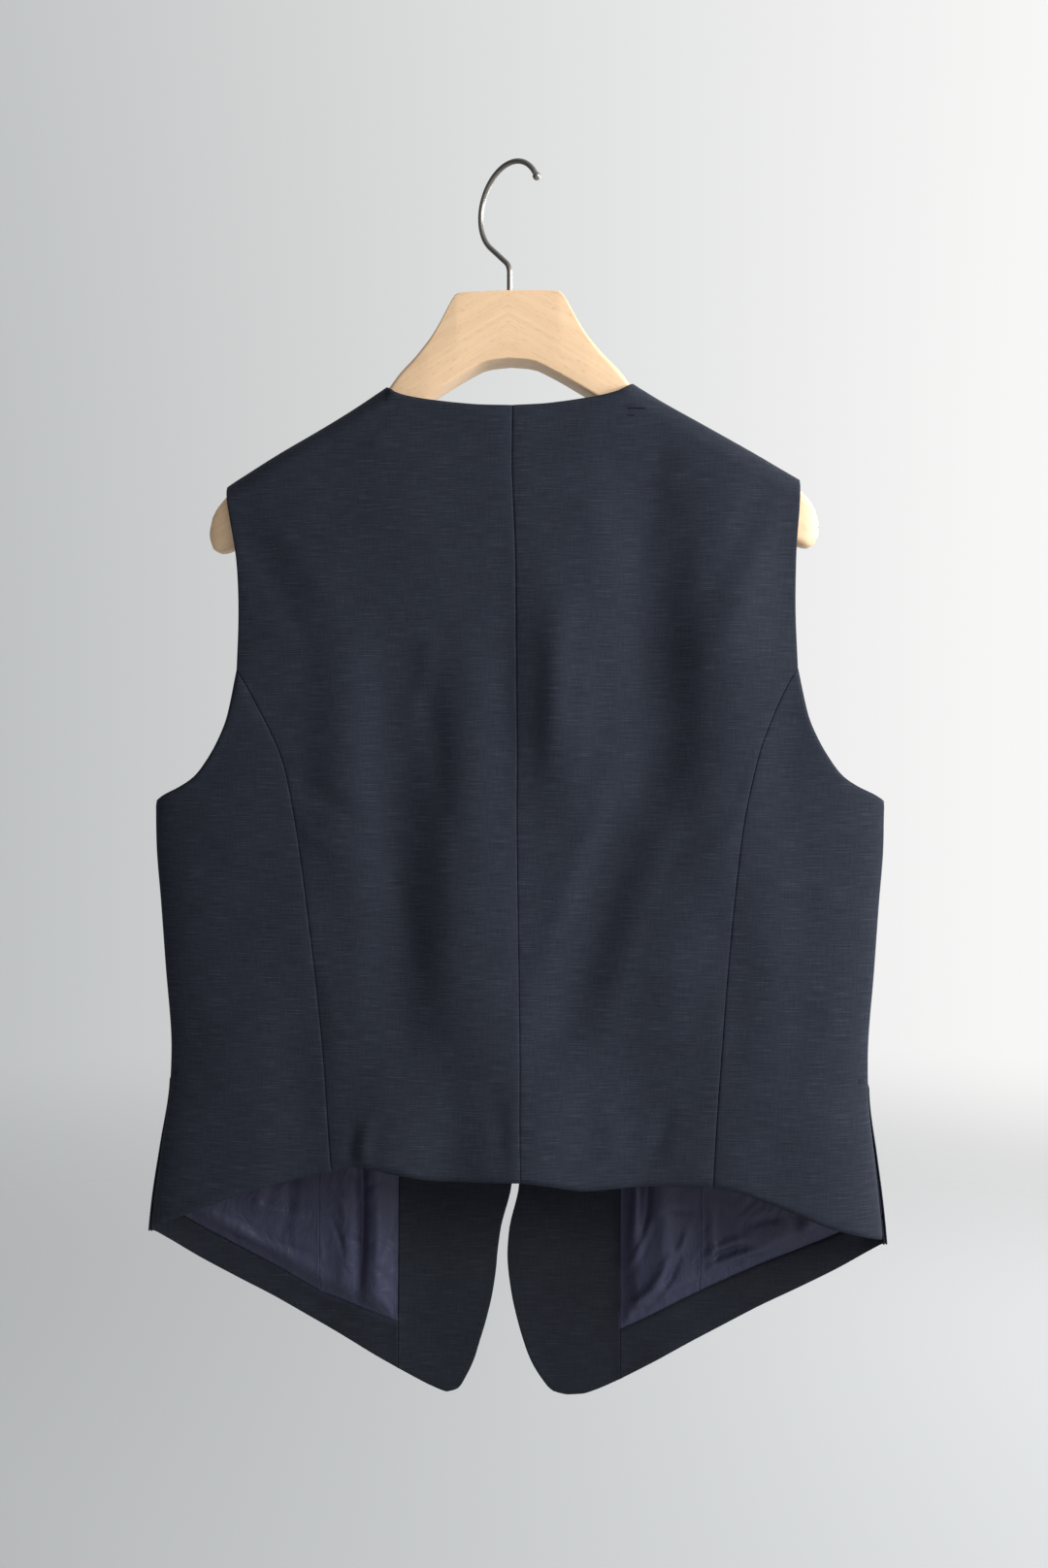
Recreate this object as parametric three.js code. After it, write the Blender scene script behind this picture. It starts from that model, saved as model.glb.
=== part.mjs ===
// A suit waistcoat hung on a wooden hanger.
// Millimetres, +Z up. The wearer's front faces -Y and the wearer's left is +X.
// The origin is inside the top of the hook, where the hook hangs.
import * as THREE from "three";

// Walls and gaps
const CLOTH_WALL = 1.6;
const FACING_WALL = 1.2;
const LINING_WALL = 1.0;
const SHELL_INSET = 0.2;
const LINING_INSET = 0.34;
const LAYER_GAP = 0.8;
const BUTTON_GAP = 0.5;
const STEM_GAP = 0.3;

// The tube of cloth. Half width and depths by height, measured to the middle of the wall.
// Above the underarm the half width is only the ellipse that the armhole edges are cut from.
const BODY = [
  { z: -120, halfWidth: 300, back: 17, front: 18 },
  { z: -250, halfWidth: 300, back: 20, front: 21 },
  { z: -320, halfWidth: 280, back: 22, front: 24 },
  { z: -380, halfWidth: 252, back: 23.5, front: 25.5 },
  { z: -413, halfWidth: 236.5, back: 24, front: 26 },
  { z: -440, halfWidth: 236, back: 24, front: 26 },
  { z: -480, halfWidth: 233, back: 24, front: 26 },
  { z: -520, halfWidth: 230, back: 24, front: 25.5 },
  { z: -577, halfWidth: 226, back: 24, front: 25 },
  { z: -600, halfWidth: 226.5, back: 25, front: 25.5 },
  { z: -640, halfWidth: 231, back: 27, front: 27 },
  { z: -695, halfWidth: 237, back: 28, front: 28 },
  { z: -760, halfWidth: 241, back: 28, front: 26 },
  { z: -810, halfWidth: 243, back: 28, front: 24 },
];
const SIDE_ROUNDING = 0.8;

// The whole garment hangs a little to the wearer's right of the hook
const SWAY = [
  { z: -200, x: 0 },
  { z: -400, x: -2 },
  { z: -700, x: -4 },
];

// Heights shared by the pieces
const UNDERARM = -413;
const VENT_TOP = -592;
const VENT_SPREAD = 2.4;
const FRONT_EXTRA_WIDTH = 3;
const BACK_SIDE_CORNER = -692;
const FRONT_SIDE_CORNER = -697;

// The shoulder line, over the hanger. Inside the neck it follows the hanger's own rise.
const SHOULDER = [
  { x: 0, z: -60 },
  { x: 40, z: -75 },
  { x: 60, z: -105 },
  { x: 70, z: -125 },
  { x: 80, z: -143.8 },
  { x: 84, z: -146.4 },
  { x: 100, z: -156.3 },
  { x: 148, z: -183.2 },
  { x: 188, z: -206 },
];
const SHOULDER_ROLL = 16;
const NECK_POINT = 80;
const SHOULDER_TIP = 188;

// The hanger's arms bend forward, and the shoulders bend with them
const FORWARD_BEND = 10;
const BEND_REACH = 200;
const BEND_FULL = 60;
const BEND_GONE = 160;

// The back's cut lines. x is the distance from the centre back seam.
const BACK_NECK = [
  { x: 0, z: -160 },
  { x: 18, z: -159.4 },
  { x: 33, z: -158 },
  { x: 50, z: -155.6 },
  { x: 62, z: -153.4 },
  { x: 72, z: -150.4 },
  { x: 77, z: -146.5 },
  { x: 79.3, z: -141 },
];
const BACK_ARMHOLE = [
  { z: -197, x: 188 },
  { z: -223, x: 185 },
  { z: -260, x: 180.7 },
  { z: -297, x: 179.5 },
  { z: -328, x: 180 },
];
const BACK_UNDERARM = [
  { z: -328, x: 180 },
  { z: -347, x: 183.5 },
  { z: -360, x: 186.6 },
  { z: -372, x: 191.6 },
  { z: -385, x: 199 },
  { z: -397, x: 208.5 },
  { z: -403.5, x: 218.3 },
  { z: -409, x: 230 },
];
const BACK_CURVED_SEAM = [
  { z: -328, x: 180 },
  { z: -344, x: 170.5 },
  { z: -359, x: 163 },
  { z: -381, x: 153.5 },
  { z: -399, x: 148.5 },
  { z: -434, x: 142 },
  { z: -520, x: 132 },
  { z: -582, x: 126.5 },
  { z: -655, x: 121 },
];
const BACK_MIDDLE_LINE = [
  { z: -135, x: 80 },
  { z: -200, x: 78 },
  { z: -328, x: 70 },
  { z: -434, x: 62 },
  { z: -655, x: 50 },
];
// x is signed here: the hem is pulled up a little on the wearer's left
const BACK_HEM = [
  { x: -237, z: -692 },
  { x: -200, z: -681 },
  { x: -170, z: -668.7 },
  { x: -128, z: -657 },
  { x: -88, z: -657 },
  { x: -49, z: -659.5 },
  { x: -16, z: -655 },
  { x: 0, z: -653.3 },
  { x: 41, z: -654 },
  { x: 74, z: -649.6 },
  { x: 97, z: -646 },
  { x: 118, z: -651 },
  { x: 132, z: -654 },
  { x: 170, z: -665 },
  { x: 206, z: -679 },
  { x: 237, z: -692 },
];

// The fronts' cut lines
const FRONT_ARMHOLE = [
  { z: -197, x: 188 },
  { z: -215, x: 184.5 },
  { z: -240, x: 177 },
  { z: -270, x: 172 },
  { z: -300, x: 170.5 },
  { z: -330, x: 172 },
  { z: -358, x: 179 },
  { z: -382, x: 192 },
  { z: -399, x: 210 },
  { z: -408, x: 226 },
];
const NECK_EDGE = [
  { z: -134.7, x: 80 },
  { z: -143, x: 79.5 },
  { z: -152, x: 78 },
  { z: -165, x: 75 },
  { z: -190, x: 68 },
  { z: -230, x: 56 },
  { z: -275, x: 42 },
  { z: -320, x: 25 },
  { z: -362, x: 5 },
  { z: -395, x: -10 },
];
// Below the neck the two front edges lie each side of a middle that swings to the wearer's left
const FRONT_EDGE = [
  { z: -395, middle: 0, half: -10 },
  { z: -610, middle: 0, half: -10 },
  { z: -640, middle: 0, half: -4 },
  { z: -667, middle: 0, half: 2.3 },
  { z: -701, middle: 7, half: 2.9 },
  { z: -720, middle: 8.5, half: 3.6 },
  { z: -740, middle: 8.5, half: 6.1 },
  { z: -759, middle: 8.5, half: 10.4 },
  { z: -772, middle: 8.5, half: 14.3 },
  { z: -785, middle: 8, half: 18.8 },
  { z: -798, middle: 7, half: 26 },
  { z: -805, middle: 6, half: 32 },
  { z: -807, middle: 5, half: 40 },
];
const FACING_EDGE = [
  { z: -793, x: 74 },
  { z: -667, x: 74 },
  { z: -560, x: 66 },
  { z: -413, x: 62 },
  { z: -330, x: 70 },
  { z: -250, x: 88 },
  { z: -200, x: 100 },
  { z: -150, x: 108 },
];
const LINING_SEAM = [
  { z: -764, x: 126 },
  { z: -667, x: 126.5 },
  { z: -560, x: 122 },
  { z: -413, x: 125 },
  { z: -300, x: 132 },
  { z: -200, x: 143 },
  { z: -150, x: 146 },
];
const FRONT_HEM = [
  { x: 35, z: -807.3 },
  { x: 45, z: -806.4 },
  { x: 54, z: -803.4 },
  { x: 66, z: -797.7 },
  { x: 90, z: -784.7 },
  { x: 113, z: -771.5 },
  { x: 137, z: -758.3 },
  { x: 161, z: -744.7 },
  { x: 187, z: -731 },
  { x: 212, z: -716.7 },
  { x: 232, z: -703 },
  { x: 240, z: -697 },
];
// Upper edge of the cloth strip inside the hem, at each upright line of the front
const HEM_FACING_TOP = { frontEdge: -775, facingEdge: -756, liningSeam: -734.5, side: -674 };

// The wearer's right front laps over the left one
const LAP_DEPTH = 4.5;
const LAP_FULL = -12;
const LAP_GONE = -56;
const LAP_LOW_FULL = -655;
const LAP_LOW_GONE = -715;

// Largest folds. Positive depth stands out of the cloth, and x is signed.
const BACK_FOLDS = [
  { topX: -27, topZ: -215, bottomX: -25, bottomZ: -500, reach: 38, depth: 2.6 },
  { topX: -69, topZ: -180, bottomX: -64, bottomZ: -510, reach: 34, depth: -2.6 },
  { topX: -117, topZ: -190, bottomX: -104, bottomZ: -505, reach: 36, depth: 2.4 },
  { topX: 33, topZ: -350, bottomX: 36, bottomZ: -520, reach: 32, depth: 1.6 },
  { topX: 70, topZ: -360, bottomX: 66, bottomZ: -530, reach: 34, depth: -2.2 },
  { topX: 106, topZ: -300, bottomX: 110, bottomZ: -430, reach: 28, depth: 1.5 },
  { topX: -6, topZ: -545, bottomX: 2, bottomZ: -760, reach: 46, depth: 3.2 },
  { topX: 62, topZ: -570, bottomX: 70, bottomZ: -760, reach: 40, depth: -2.4 },
  { topX: -84, topZ: -560, bottomX: -88, bottomZ: -760, reach: 40, depth: -2 },
];
const FRONT_FOLDS = [
  { topX: 84, topZ: -210, bottomX: 78, bottomZ: -540, reach: 46, depth: 2.4 },
  { topX: 132, topZ: -230, bottomX: 124, bottomZ: -600, reach: 46, depth: -2.6 },
  { topX: -96, topZ: -220, bottomX: -84, bottomZ: -560, reach: 48, depth: 2.8 },
  { topX: -142, topZ: -260, bottomX: -128, bottomZ: -590, reach: 46, depth: -2.2 },
  { topX: 92, topZ: -600, bottomX: 90, bottomZ: -830, reach: 44, depth: -2.6 },
  { topX: -98, topZ: -590, bottomX: -92, bottomZ: -830, reach: 46, depth: -2.2 },
];

// Rows and columns of each panel's grid
const ROLL_STEPS = 3;
const ROLL_STEP_LENGTH = 8.4;
const BACK_SEAM_STEPS = 13;
const BACK_ARMHOLE_STEPS = 5;
const VENT_STEPS_BACK = 5;
const VENT_STEPS_FRONT = 4;
const SIDE_STEPS = 8;
const HEM_FACING_STEPS = 3;
const FRONT_ARMHOLE_STEPS = 11;
const NECK_SHARES = [0, 0.2, 0.4, 0.57, 0.71, 0.82, 0.91, 1];
const BACK_SHOULDER_COLUMNS = 6;
const SIDE_BACK_COLUMNS = 6;
const FACING_COLUMNS = 3;
const LINING_COLUMNS = 4;
const LINING_SIDE_COLUMNS = 6;

// Buttons
const BUTTON_HEIGHTS = [-405, -455, -505, -555, -605];
const BUTTON_RADIUS = 9;
const BUTTON_SEGMENTS = 20;
const BUTTON_PROFILE = [
  { radius: 7.6, height: 0 },
  { radius: 9, height: 1.2 },
  { radius: 9, height: 2.4 },
  { radius: 7.8, height: 3.2 },
  { radius: 6, height: 2.3 },
];

// The hanger, cut across at each x. Squareness 2 is an ellipse and more is squarer.
const HANGER = [
  { x: 0, top: -84.5, bottom: -129.5, thickness: 24, squareness: 5 },
  { x: 20, top: -84.8, bottom: -131.8, thickness: 24, squareness: 5 },
  { x: 33, top: -85.6, bottom: -138.4, thickness: 24, squareness: 5 },
  { x: 38, top: -88.4, bottom: -141.2, thickness: 24, squareness: 5 },
  { x: 43, top: -94.4, bottom: -144.4, thickness: 24, squareness: 4.6 },
  { x: 48, top: -103.6, bottom: -148, thickness: 24, squareness: 4.2 },
  { x: 55, top: -115.4, bottom: -153, thickness: 23.6, squareness: 3.8 },
  { x: 62, top: -124, bottom: -159, thickness: 23.2, squareness: 3.4 },
  { x: 70, top: -132.6, bottom: -166, thickness: 22.6, squareness: 3 },
  { x: 76, top: -143.4, bottom: -171.5, thickness: 22.2, squareness: 2.8 },
  { x: 80, top: -148.2, bottom: -175, thickness: 22, squareness: 2.7 },
  { x: 100, top: -159.4, bottom: -189, thickness: 21, squareness: 2.6 },
  { x: 125, top: -173.4, bottom: -206, thickness: 20, squareness: 2.6 },
  { x: 150, top: -187.4, bottom: -223, thickness: 19, squareness: 2.6 },
  { x: 172, top: -200, bottom: -239, thickness: 18, squareness: 2.6 },
  { x: 184, top: -209, bottom: -247, thickness: 17.4, squareness: 2.5 },
  { x: 192, top: -217, bottom: -249, thickness: 16.4, squareness: 2.4 },
  { x: 197, top: -224, bottom: -246.6, thickness: 13.6, squareness: 2.3 },
  { x: 199.5, top: -230.6, bottom: -241.6, thickness: 8, squareness: 2.2 },
];
const HANGER_RING = 16;

// The hook, a wire bent in one upright plane that is turned about the stem
const WIRE_RADIUS = 1.75;
const HOOK_RADIUS = 28.75;
const HOOK_TURN = THREE.MathUtils.degToRad(44);
const HOOK_START_ANGLE = 229;
const HOOK_END_ANGLE = 30;
const HOOK_ARC_POINTS = 12;
const STEM_POINTS = [
  { out: 0, z: -76 },
  { out: 0, z: -68 },
  { out: -6.6, z: -58.6 },
];
const BALL_RADIUS = 2.65;
const BALL_ANGLES = [139, 115, 90, 62, 32];
const HOOK_RINGS = 30;
const HOOK_SEGMENTS = 10;

// Colours and finishes
const CLOTH = { color: 0x23262f, roughness: 0.85, metalness: 0 };
const FACING = { color: 0x20232b, roughness: 0.88, metalness: 0 };
const LINING = { color: 0x2b2d45, roughness: 0.42, metalness: 0 };
const BUTTON = { color: 0x17181c, roughness: 0.4, metalness: 0 };
const WOOD = { color: 0xd9c3a0, roughness: 0.55, metalness: 0 };
const STEEL = { color: 0xb9bbbd, roughness: 0.28, metalness: 1 };

// Tables become smooth curves that never swing past their rows
function curveOf(rows, key, value) {
  const sorted = [...rows].sort((a, b) => a[key] - b[key]);
  const keys = sorted.map((row) => row[key]);
  const values = sorted.map((row) => row[value]);
  const last = keys.length - 1;
  const steps = keys.slice(1).map((k, i) => (values[i + 1] - values[i]) / (k - keys[i]));
  const slopes = keys.map((k, i) => {
    const before = steps[Math.max(i - 1, 0)];
    const after = steps[Math.min(i, last - 1)];
    return before * after <= 0 ? 0 : (2 * before * after) / (before + after);
  });
  return (wanted) => {
    const at = THREE.MathUtils.clamp(wanted, keys[0], keys[last]);
    let i = 0;
    while (i < last - 1 && at > keys[i + 1]) {
      i += 1;
    }
    const span = keys[i + 1] - keys[i];
    const t = (at - keys[i]) / span;
    const start = values[i] * (1 + 2 * t) * (1 - t) ** 2 + slopes[i] * span * t * (1 - t) ** 2;
    const end = values[i + 1] * t * t * (3 - 2 * t) - slopes[i + 1] * span * t * t * (1 - t);
    return start + end;
  };
}

const bodyHalfWidth = curveOf(BODY, "z", "halfWidth");
const backDepth = curveOf(BODY, "z", "back");
const frontDepth = curveOf(BODY, "z", "front");
const swayAt = curveOf(SWAY, "z", "x");
const shoulderAt = curveOf(SHOULDER, "x", "z");
const backHemAt = curveOf(BACK_HEM, "x", "z");
const frontHemAt = curveOf(FRONT_HEM, "x", "z");
const backSeamAt = curveOf(BACK_CURVED_SEAM, "z", "x");
const backMiddleAt = curveOf(BACK_MIDDLE_LINE, "z", "x");
const backArmholeAt = curveOf(BACK_ARMHOLE, "z", "x");
const frontArmholeAt = curveOf(FRONT_ARMHOLE, "z", "x");
const neckEdgeAt = curveOf(NECK_EDGE, "z", "x");
const edgeMiddleAt = curveOf(FRONT_EDGE, "z", "middle");
const edgeHalfAt = curveOf(FRONT_EDGE, "z", "half");
const facingEdgeAt = curveOf(FACING_EDGE, "z", "x");
const liningSeamAt = curveOf(LINING_SEAM, "z", "x");

function fadeBetween(value, gone, full) {
  const t = THREE.MathUtils.clamp((value - gone) / (full - gone), 0, 1);
  return t * t * (3 - 2 * t);
}

function halfWidthAt(side, height) {
  const extra = side === "front" ? FRONT_EXTRA_WIDTH * fadeBetween(height, VENT_TOP, -680) : 0;
  return bodyHalfWidth(height) + extra;
}

// How far a fold stands out at one place on the cloth
function foldDepth(folds, x, height) {
  return folds.reduce((sum, fold) => {
    const along = (height - fold.bottomZ) / (fold.topZ - fold.bottomZ);
    const middle = THREE.MathUtils.lerp(fold.bottomX, fold.topX, along);
    const across = Math.abs(x - middle) / fold.reach;
    if (along <= 0 || along >= 1 || across >= 1) {
      return sum;
    }
    const bell = 0.5 + 0.5 * Math.cos(Math.PI * across);
    return sum + fold.depth * bell * Math.sin(Math.PI * along) ** 0.8;
  }, 0);
}

// How far the right front is carried out over the left one
function lapDepth(panel, x, height) {
  if (panel.side === "back" || panel.hand > 0) {
    return 0;
  }
  const across = fadeBetween(x, LAP_GONE, LAP_FULL);
  const along = fadeBetween(height, LAP_LOW_GONE, LAP_LOW_FULL);
  return LAP_DEPTH * across * along;
}

// Place of the middle of the cloth wall. `across` runs from -1 at the right side seam
// to 1 at the left one, and `height` runs up the cloth and on over the shoulder.
function wallPoint(panel, across, height) {
  const isBack = panel.side === "back";
  const x = halfWidthAt(panel.side, height) * Math.sin((across * Math.PI) / 2);
  const roundness = Math.cos((across * Math.PI) / 2);
  const bulge = Math.sign(roundness) * Math.abs(roundness) ** SIDE_ROUNDING;
  const spread = isBack ? VENT_SPREAD * fadeBetween(height, VENT_TOP, BACK_SIDE_CORNER) : 0;
  const edge = SHELL_INSET + spread;
  const fullDepth = isBack ? backDepth(height) : frontDepth(height);
  const folds = foldDepth(isBack ? BACK_FOLDS : FRONT_FOLDS, x, height);
  const depth = edge + (fullDepth - edge + folds) * bulge + lapDepth(panel, x, height);

  const ridge = shoulderAt(Math.abs(x));
  const turn = Math.max((height - (ridge - SHOULDER_ROLL)) / SHOULDER_ROLL, 0);
  const z = turn > 0 ? ridge - SHOULDER_ROLL + SHOULDER_ROLL * Math.sin(turn) : height;
  const bend = fadeBetween(height, ridge - BEND_GONE, ridge - BEND_FULL);
  const forward = FORWARD_BEND * (x / BEND_REACH) ** 2 * bend;
  const y = (isBack ? 1 : -1) * depth * Math.cos(turn) - forward;
  return new THREE.Vector3(x + swayAt(height), y, z);
}

function wallNormal(panel, across, height) {
  const small = 0.002;
  const low = 0.2;
  const along = wallPoint(panel, across + small, height).sub(wallPoint(panel, across - small, height));
  const up = wallPoint(panel, across, height + low).sub(wallPoint(panel, across, height - low));
  const normal = along.cross(up).normalize();
  return panel.side === "back" ? normal.negate() : normal;
}

// A grid place is {x, z}: signed distance from the centre line and height up the cloth
function toAcross(panel, place) {
  const share = THREE.MathUtils.clamp(place.x / halfWidthAt(panel.side, place.z), -1, 1);
  return (Math.asin(share) * 2) / Math.PI;
}

// A closed wall over a grid of places, between two distances from the middle of the cloth
function wallSolid(panel, grid, outer, inner) {
  const rows = grid.length;
  const columns = grid[0].length;
  const positions = [];
  [outer, inner].forEach((distance) => {
    grid.flat().forEach((place) => {
      const across = toAcross(panel, place);
      const point = wallPoint(panel, across, place.z);
      point.addScaledVector(wallNormal(panel, across, place.z), distance);
      positions.push(point.x, point.y, point.z);
    });
  });

  const indices = [];
  const innerStart = rows * columns;
  const quad = (a, b, c, d) => indices.push(a, b, c, a, c, d);
  for (let row = 0; row < rows - 1; row += 1) {
    for (let column = 0; column < columns - 1; column += 1) {
      const a = row * columns + column;
      quad(a, a + 1, a + columns + 1, a + columns);
      const b = a + innerStart;
      quad(b, b + columns, b + columns + 1, b + 1);
    }
  }
  const rim = [];
  for (let column = 0; column < columns - 1; column += 1) {
    rim.push(column);
  }
  for (let row = 0; row < rows - 1; row += 1) {
    rim.push(row * columns + columns - 1);
  }
  for (let column = columns - 1; column > 0; column -= 1) {
    rim.push((rows - 1) * columns + column);
  }
  for (let row = rows - 1; row > 0; row -= 1) {
    rim.push(row * columns);
  }
  rim.forEach((a, i) => {
    const b = rim[(i + 1) % rim.length];
    quad(b, a, a + innerStart, b + innerStart);
  });
  return closedGeometry(positions, indices);
}

// Faces are turned outwards when the volume they enclose comes out negative
function closedGeometry(positions, indices) {
  const corner = (i) => new THREE.Vector3().fromArray(positions, indices[i] * 3);
  let volume = 0;
  for (let i = 0; i < indices.length; i += 3) {
    volume += corner(i).dot(corner(i + 1).cross(corner(i + 2)));
  }
  if (volume < 0) {
    indices.reverse();
  }
  const geometry = new THREE.BufferGeometry();
  geometry.setAttribute("position", new THREE.Float32BufferAttribute(positions, 3));
  geometry.setIndex(indices);
  geometry.computeVertexNormals();
  return geometry;
}

function evenSteps(start, end, count) {
  return Array.from({ length: count + 1 }, (_, i) => THREE.MathUtils.lerp(start, end, i / count));
}

function evenShares(count) {
  return evenSteps(0, 1, count);
}

// Shares that crowd towards the side seam, where the cloth turns
function sideShares(count) {
  return evenShares(count).map((share) => Math.sin((share * Math.PI) / 2));
}

// Heights joined end to end, without the doubled joints
function joinedSteps(...lists) {
  return lists.flatMap((list, i) => (i === 0 ? list : list.slice(1)));
}

// Places along a curve through the given rows, at shares of its length
function placesAlong(rows, shares) {
  const points = rows.map((row) => new THREE.Vector3(row.x, row.z, 0));
  const curve = new THREE.CatmullRomCurve3(points, false, "centripetal");
  curve.arcLengthDivisions = 400;
  return shares.map((share) => {
    const point = curve.getPointAt(share);
    return { x: point.x, z: point.y };
  });
}

function placesBetween(startX, endX, shares, heightAt) {
  return shares.map((share) => {
    const x = THREE.MathUtils.lerp(startX, endX, share);
    return { x, z: heightAt(x) };
  });
}

// A patch of places between four edges. Sides run upwards and ends run away from the centre line.
function patchOf(inside, outside, bottom, top, shares) {
  const last = inside.length - 1;
  const end = shares.length - 1;
  return inside.map((_, row) => {
    const v = row / last;
    return shares.map((u, column) => {
      const blend = (key) => {
        const sides = (1 - u) * inside[row][key] + u * outside[row][key];
        const ends = (1 - v) * bottom[column][key] + v * top[column][key];
        const low = (1 - u) * bottom[0][key] + u * bottom[end][key];
        const high = (1 - u) * top[0][key] + u * top[end][key];
        return sides + ends - (1 - v) * low - v * high;
      };
      return { x: blend("x"), z: blend("z") };
    });
  });
}

function joinPatches(...patches) {
  return patches[0].map((_, row) => {
    return patches.flatMap((patch, i) => (i === 0 ? patch[row] : patch[row].slice(1)));
  });
}

function handed(grid, hand) {
  return grid.map((row) => row.map((place) => ({ x: place.x * hand, z: place.z })));
}

function partOf(grid, rowStart, rowEnd, columnStart, columnEnd) {
  return grid.slice(rowStart, rowEnd + 1).map((row) => row.slice(columnStart, columnEnd + 1));
}

// Edges named here are drawn in, which leaves the gap at a seam
function insetGrid(grid, edges, inset) {
  const lastRow = grid.length - 1;
  const lastColumn = grid[0].length - 1;
  const towards = (from, to) => {
    const length = Math.hypot(to.x - from.x, to.z - from.z);
    const share = inset / length;
    return {
      x: THREE.MathUtils.lerp(from.x, to.x, share),
      z: THREE.MathUtils.lerp(from.z, to.z, share),
    };
  };
  const result = grid.map((row) => row.map((place) => ({ ...place })));
  if (edges.includes("inside")) {
    result.forEach((row) => {
      row[0] = towards(row[0], row[1]);
    });
  }
  if (edges.includes("outside")) {
    result.forEach((row) => {
      row[lastColumn] = towards(row[lastColumn], row[lastColumn - 1]);
    });
  }
  if (edges.includes("bottom")) {
    result[0] = result[0].map((place, i) => towards(place, result[1][i]));
  }
  if (edges.includes("top")) {
    result[lastRow] = result[lastRow].map((place, i) => towards(place, result[lastRow - 1][i]));
  }
  return result;
}

// Height up the cloth of the shoulder seam, which lies on the crest of the roll
function crestAt(x) {
  return shoulderAt(Math.abs(x)) + (Math.PI / 2 - 1) * SHOULDER_ROLL - SHELL_INSET;
}

function rollSteps(top) {
  const length = ROLL_STEPS * ROLL_STEP_LENGTH;
  return evenSteps(top - length, top, ROLL_STEPS);
}

// Heights of a back line: up to the end of the curved seam, then to the roll, then over it
function backHeights(bottom, top) {
  const seamEnd = BACK_CURVED_SEAM[0].z;
  const roll = rollSteps(top);
  return joinedSteps(
    evenSteps(bottom, seamEnd, BACK_SEAM_STEPS),
    evenSteps(seamEnd, roll[0], BACK_ARMHOLE_STEPS),
    roll,
  );
}

function backGrid(hand) {
  const hemAt = (x) => backHemAt(x * hand);
  const seamX = backSeamAt(-655);
  const middleX = backMiddleAt(-655);
  const neck = [...BACK_NECK, { x: NECK_POINT, z: crestAt(NECK_POINT) }];
  const centre = backHeights(hemAt(0), neck[0].z).map((z) => ({ x: 0, z }));
  const middle = backHeights(hemAt(middleX), crestAt(NECK_POINT)).map((z) => ({
    x: backMiddleAt(z),
    z,
  }));
  middle[middle.length - 1].x = NECK_POINT;
  const outside = backHeights(hemAt(seamX), crestAt(SHOULDER_TIP)).map((z) => {
    const onSeam = z <= BACK_CURVED_SEAM[0].z;
    return { x: onSeam ? backSeamAt(z) : backArmholeAt(z), z };
  });
  const shoulder = evenShares(BACK_SHOULDER_COLUMNS);
  const inner = patchOf(
    centre,
    middle,
    placesBetween(0, middleX, NECK_SHARES, hemAt),
    placesAlong(neck, NECK_SHARES),
    NECK_SHARES,
  );
  const outer = patchOf(
    middle,
    outside,
    placesBetween(middleX, seamX, shoulder, hemAt),
    placesBetween(NECK_POINT, SHOULDER_TIP, shoulder, crestAt),
    shoulder,
  );
  return insetGrid(handed(joinPatches(inner, outer), hand), ["inside", "outside"], SHELL_INSET);
}

function sideBackGrid(hand) {
  const hemAt = (x) => backHemAt(x * hand);
  const seamX = backSeamAt(-655);
  const heights = joinedSteps(
    evenSteps(BACK_SIDE_CORNER, VENT_TOP, VENT_STEPS_BACK),
    evenSteps(VENT_TOP, UNDERARM, SIDE_STEPS),
  );
  const inside = evenSteps(hemAt(seamX), BACK_CURVED_SEAM[0].z, BACK_SEAM_STEPS).map((z) => ({
    x: backSeamAt(z),
    z,
  }));
  const outside = heights.map((z) => ({ x: halfWidthAt("back", z), z }));
  const armhole = [...BACK_UNDERARM, { x: halfWidthAt("back", UNDERARM), z: UNDERARM }];
  const shares = sideShares(SIDE_BACK_COLUMNS);
  const cornerX = halfWidthAt("back", BACK_SIDE_CORNER);
  const patch = patchOf(
    inside,
    outside,
    placesBetween(seamX, cornerX, shares, hemAt),
    placesAlong(armhole, evenShares(SIDE_BACK_COLUMNS)),
    shares,
  );
  return insetGrid(handed(patch, hand), ["inside"], SHELL_INSET);
}

// Heights of a front line: the hem strip, then to the underarm, then to the roll and over it
function frontHeights(bottom, facingTop, top) {
  const roll = rollSteps(top);
  return joinedSteps(
    evenSteps(bottom, facingTop, HEM_FACING_STEPS),
    evenSteps(facingTop, UNDERARM, VENT_STEPS_FRONT + SIDE_STEPS),
    evenSteps(UNDERARM, roll[0], FRONT_ARMHOLE_STEPS),
    roll,
  );
}

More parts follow.
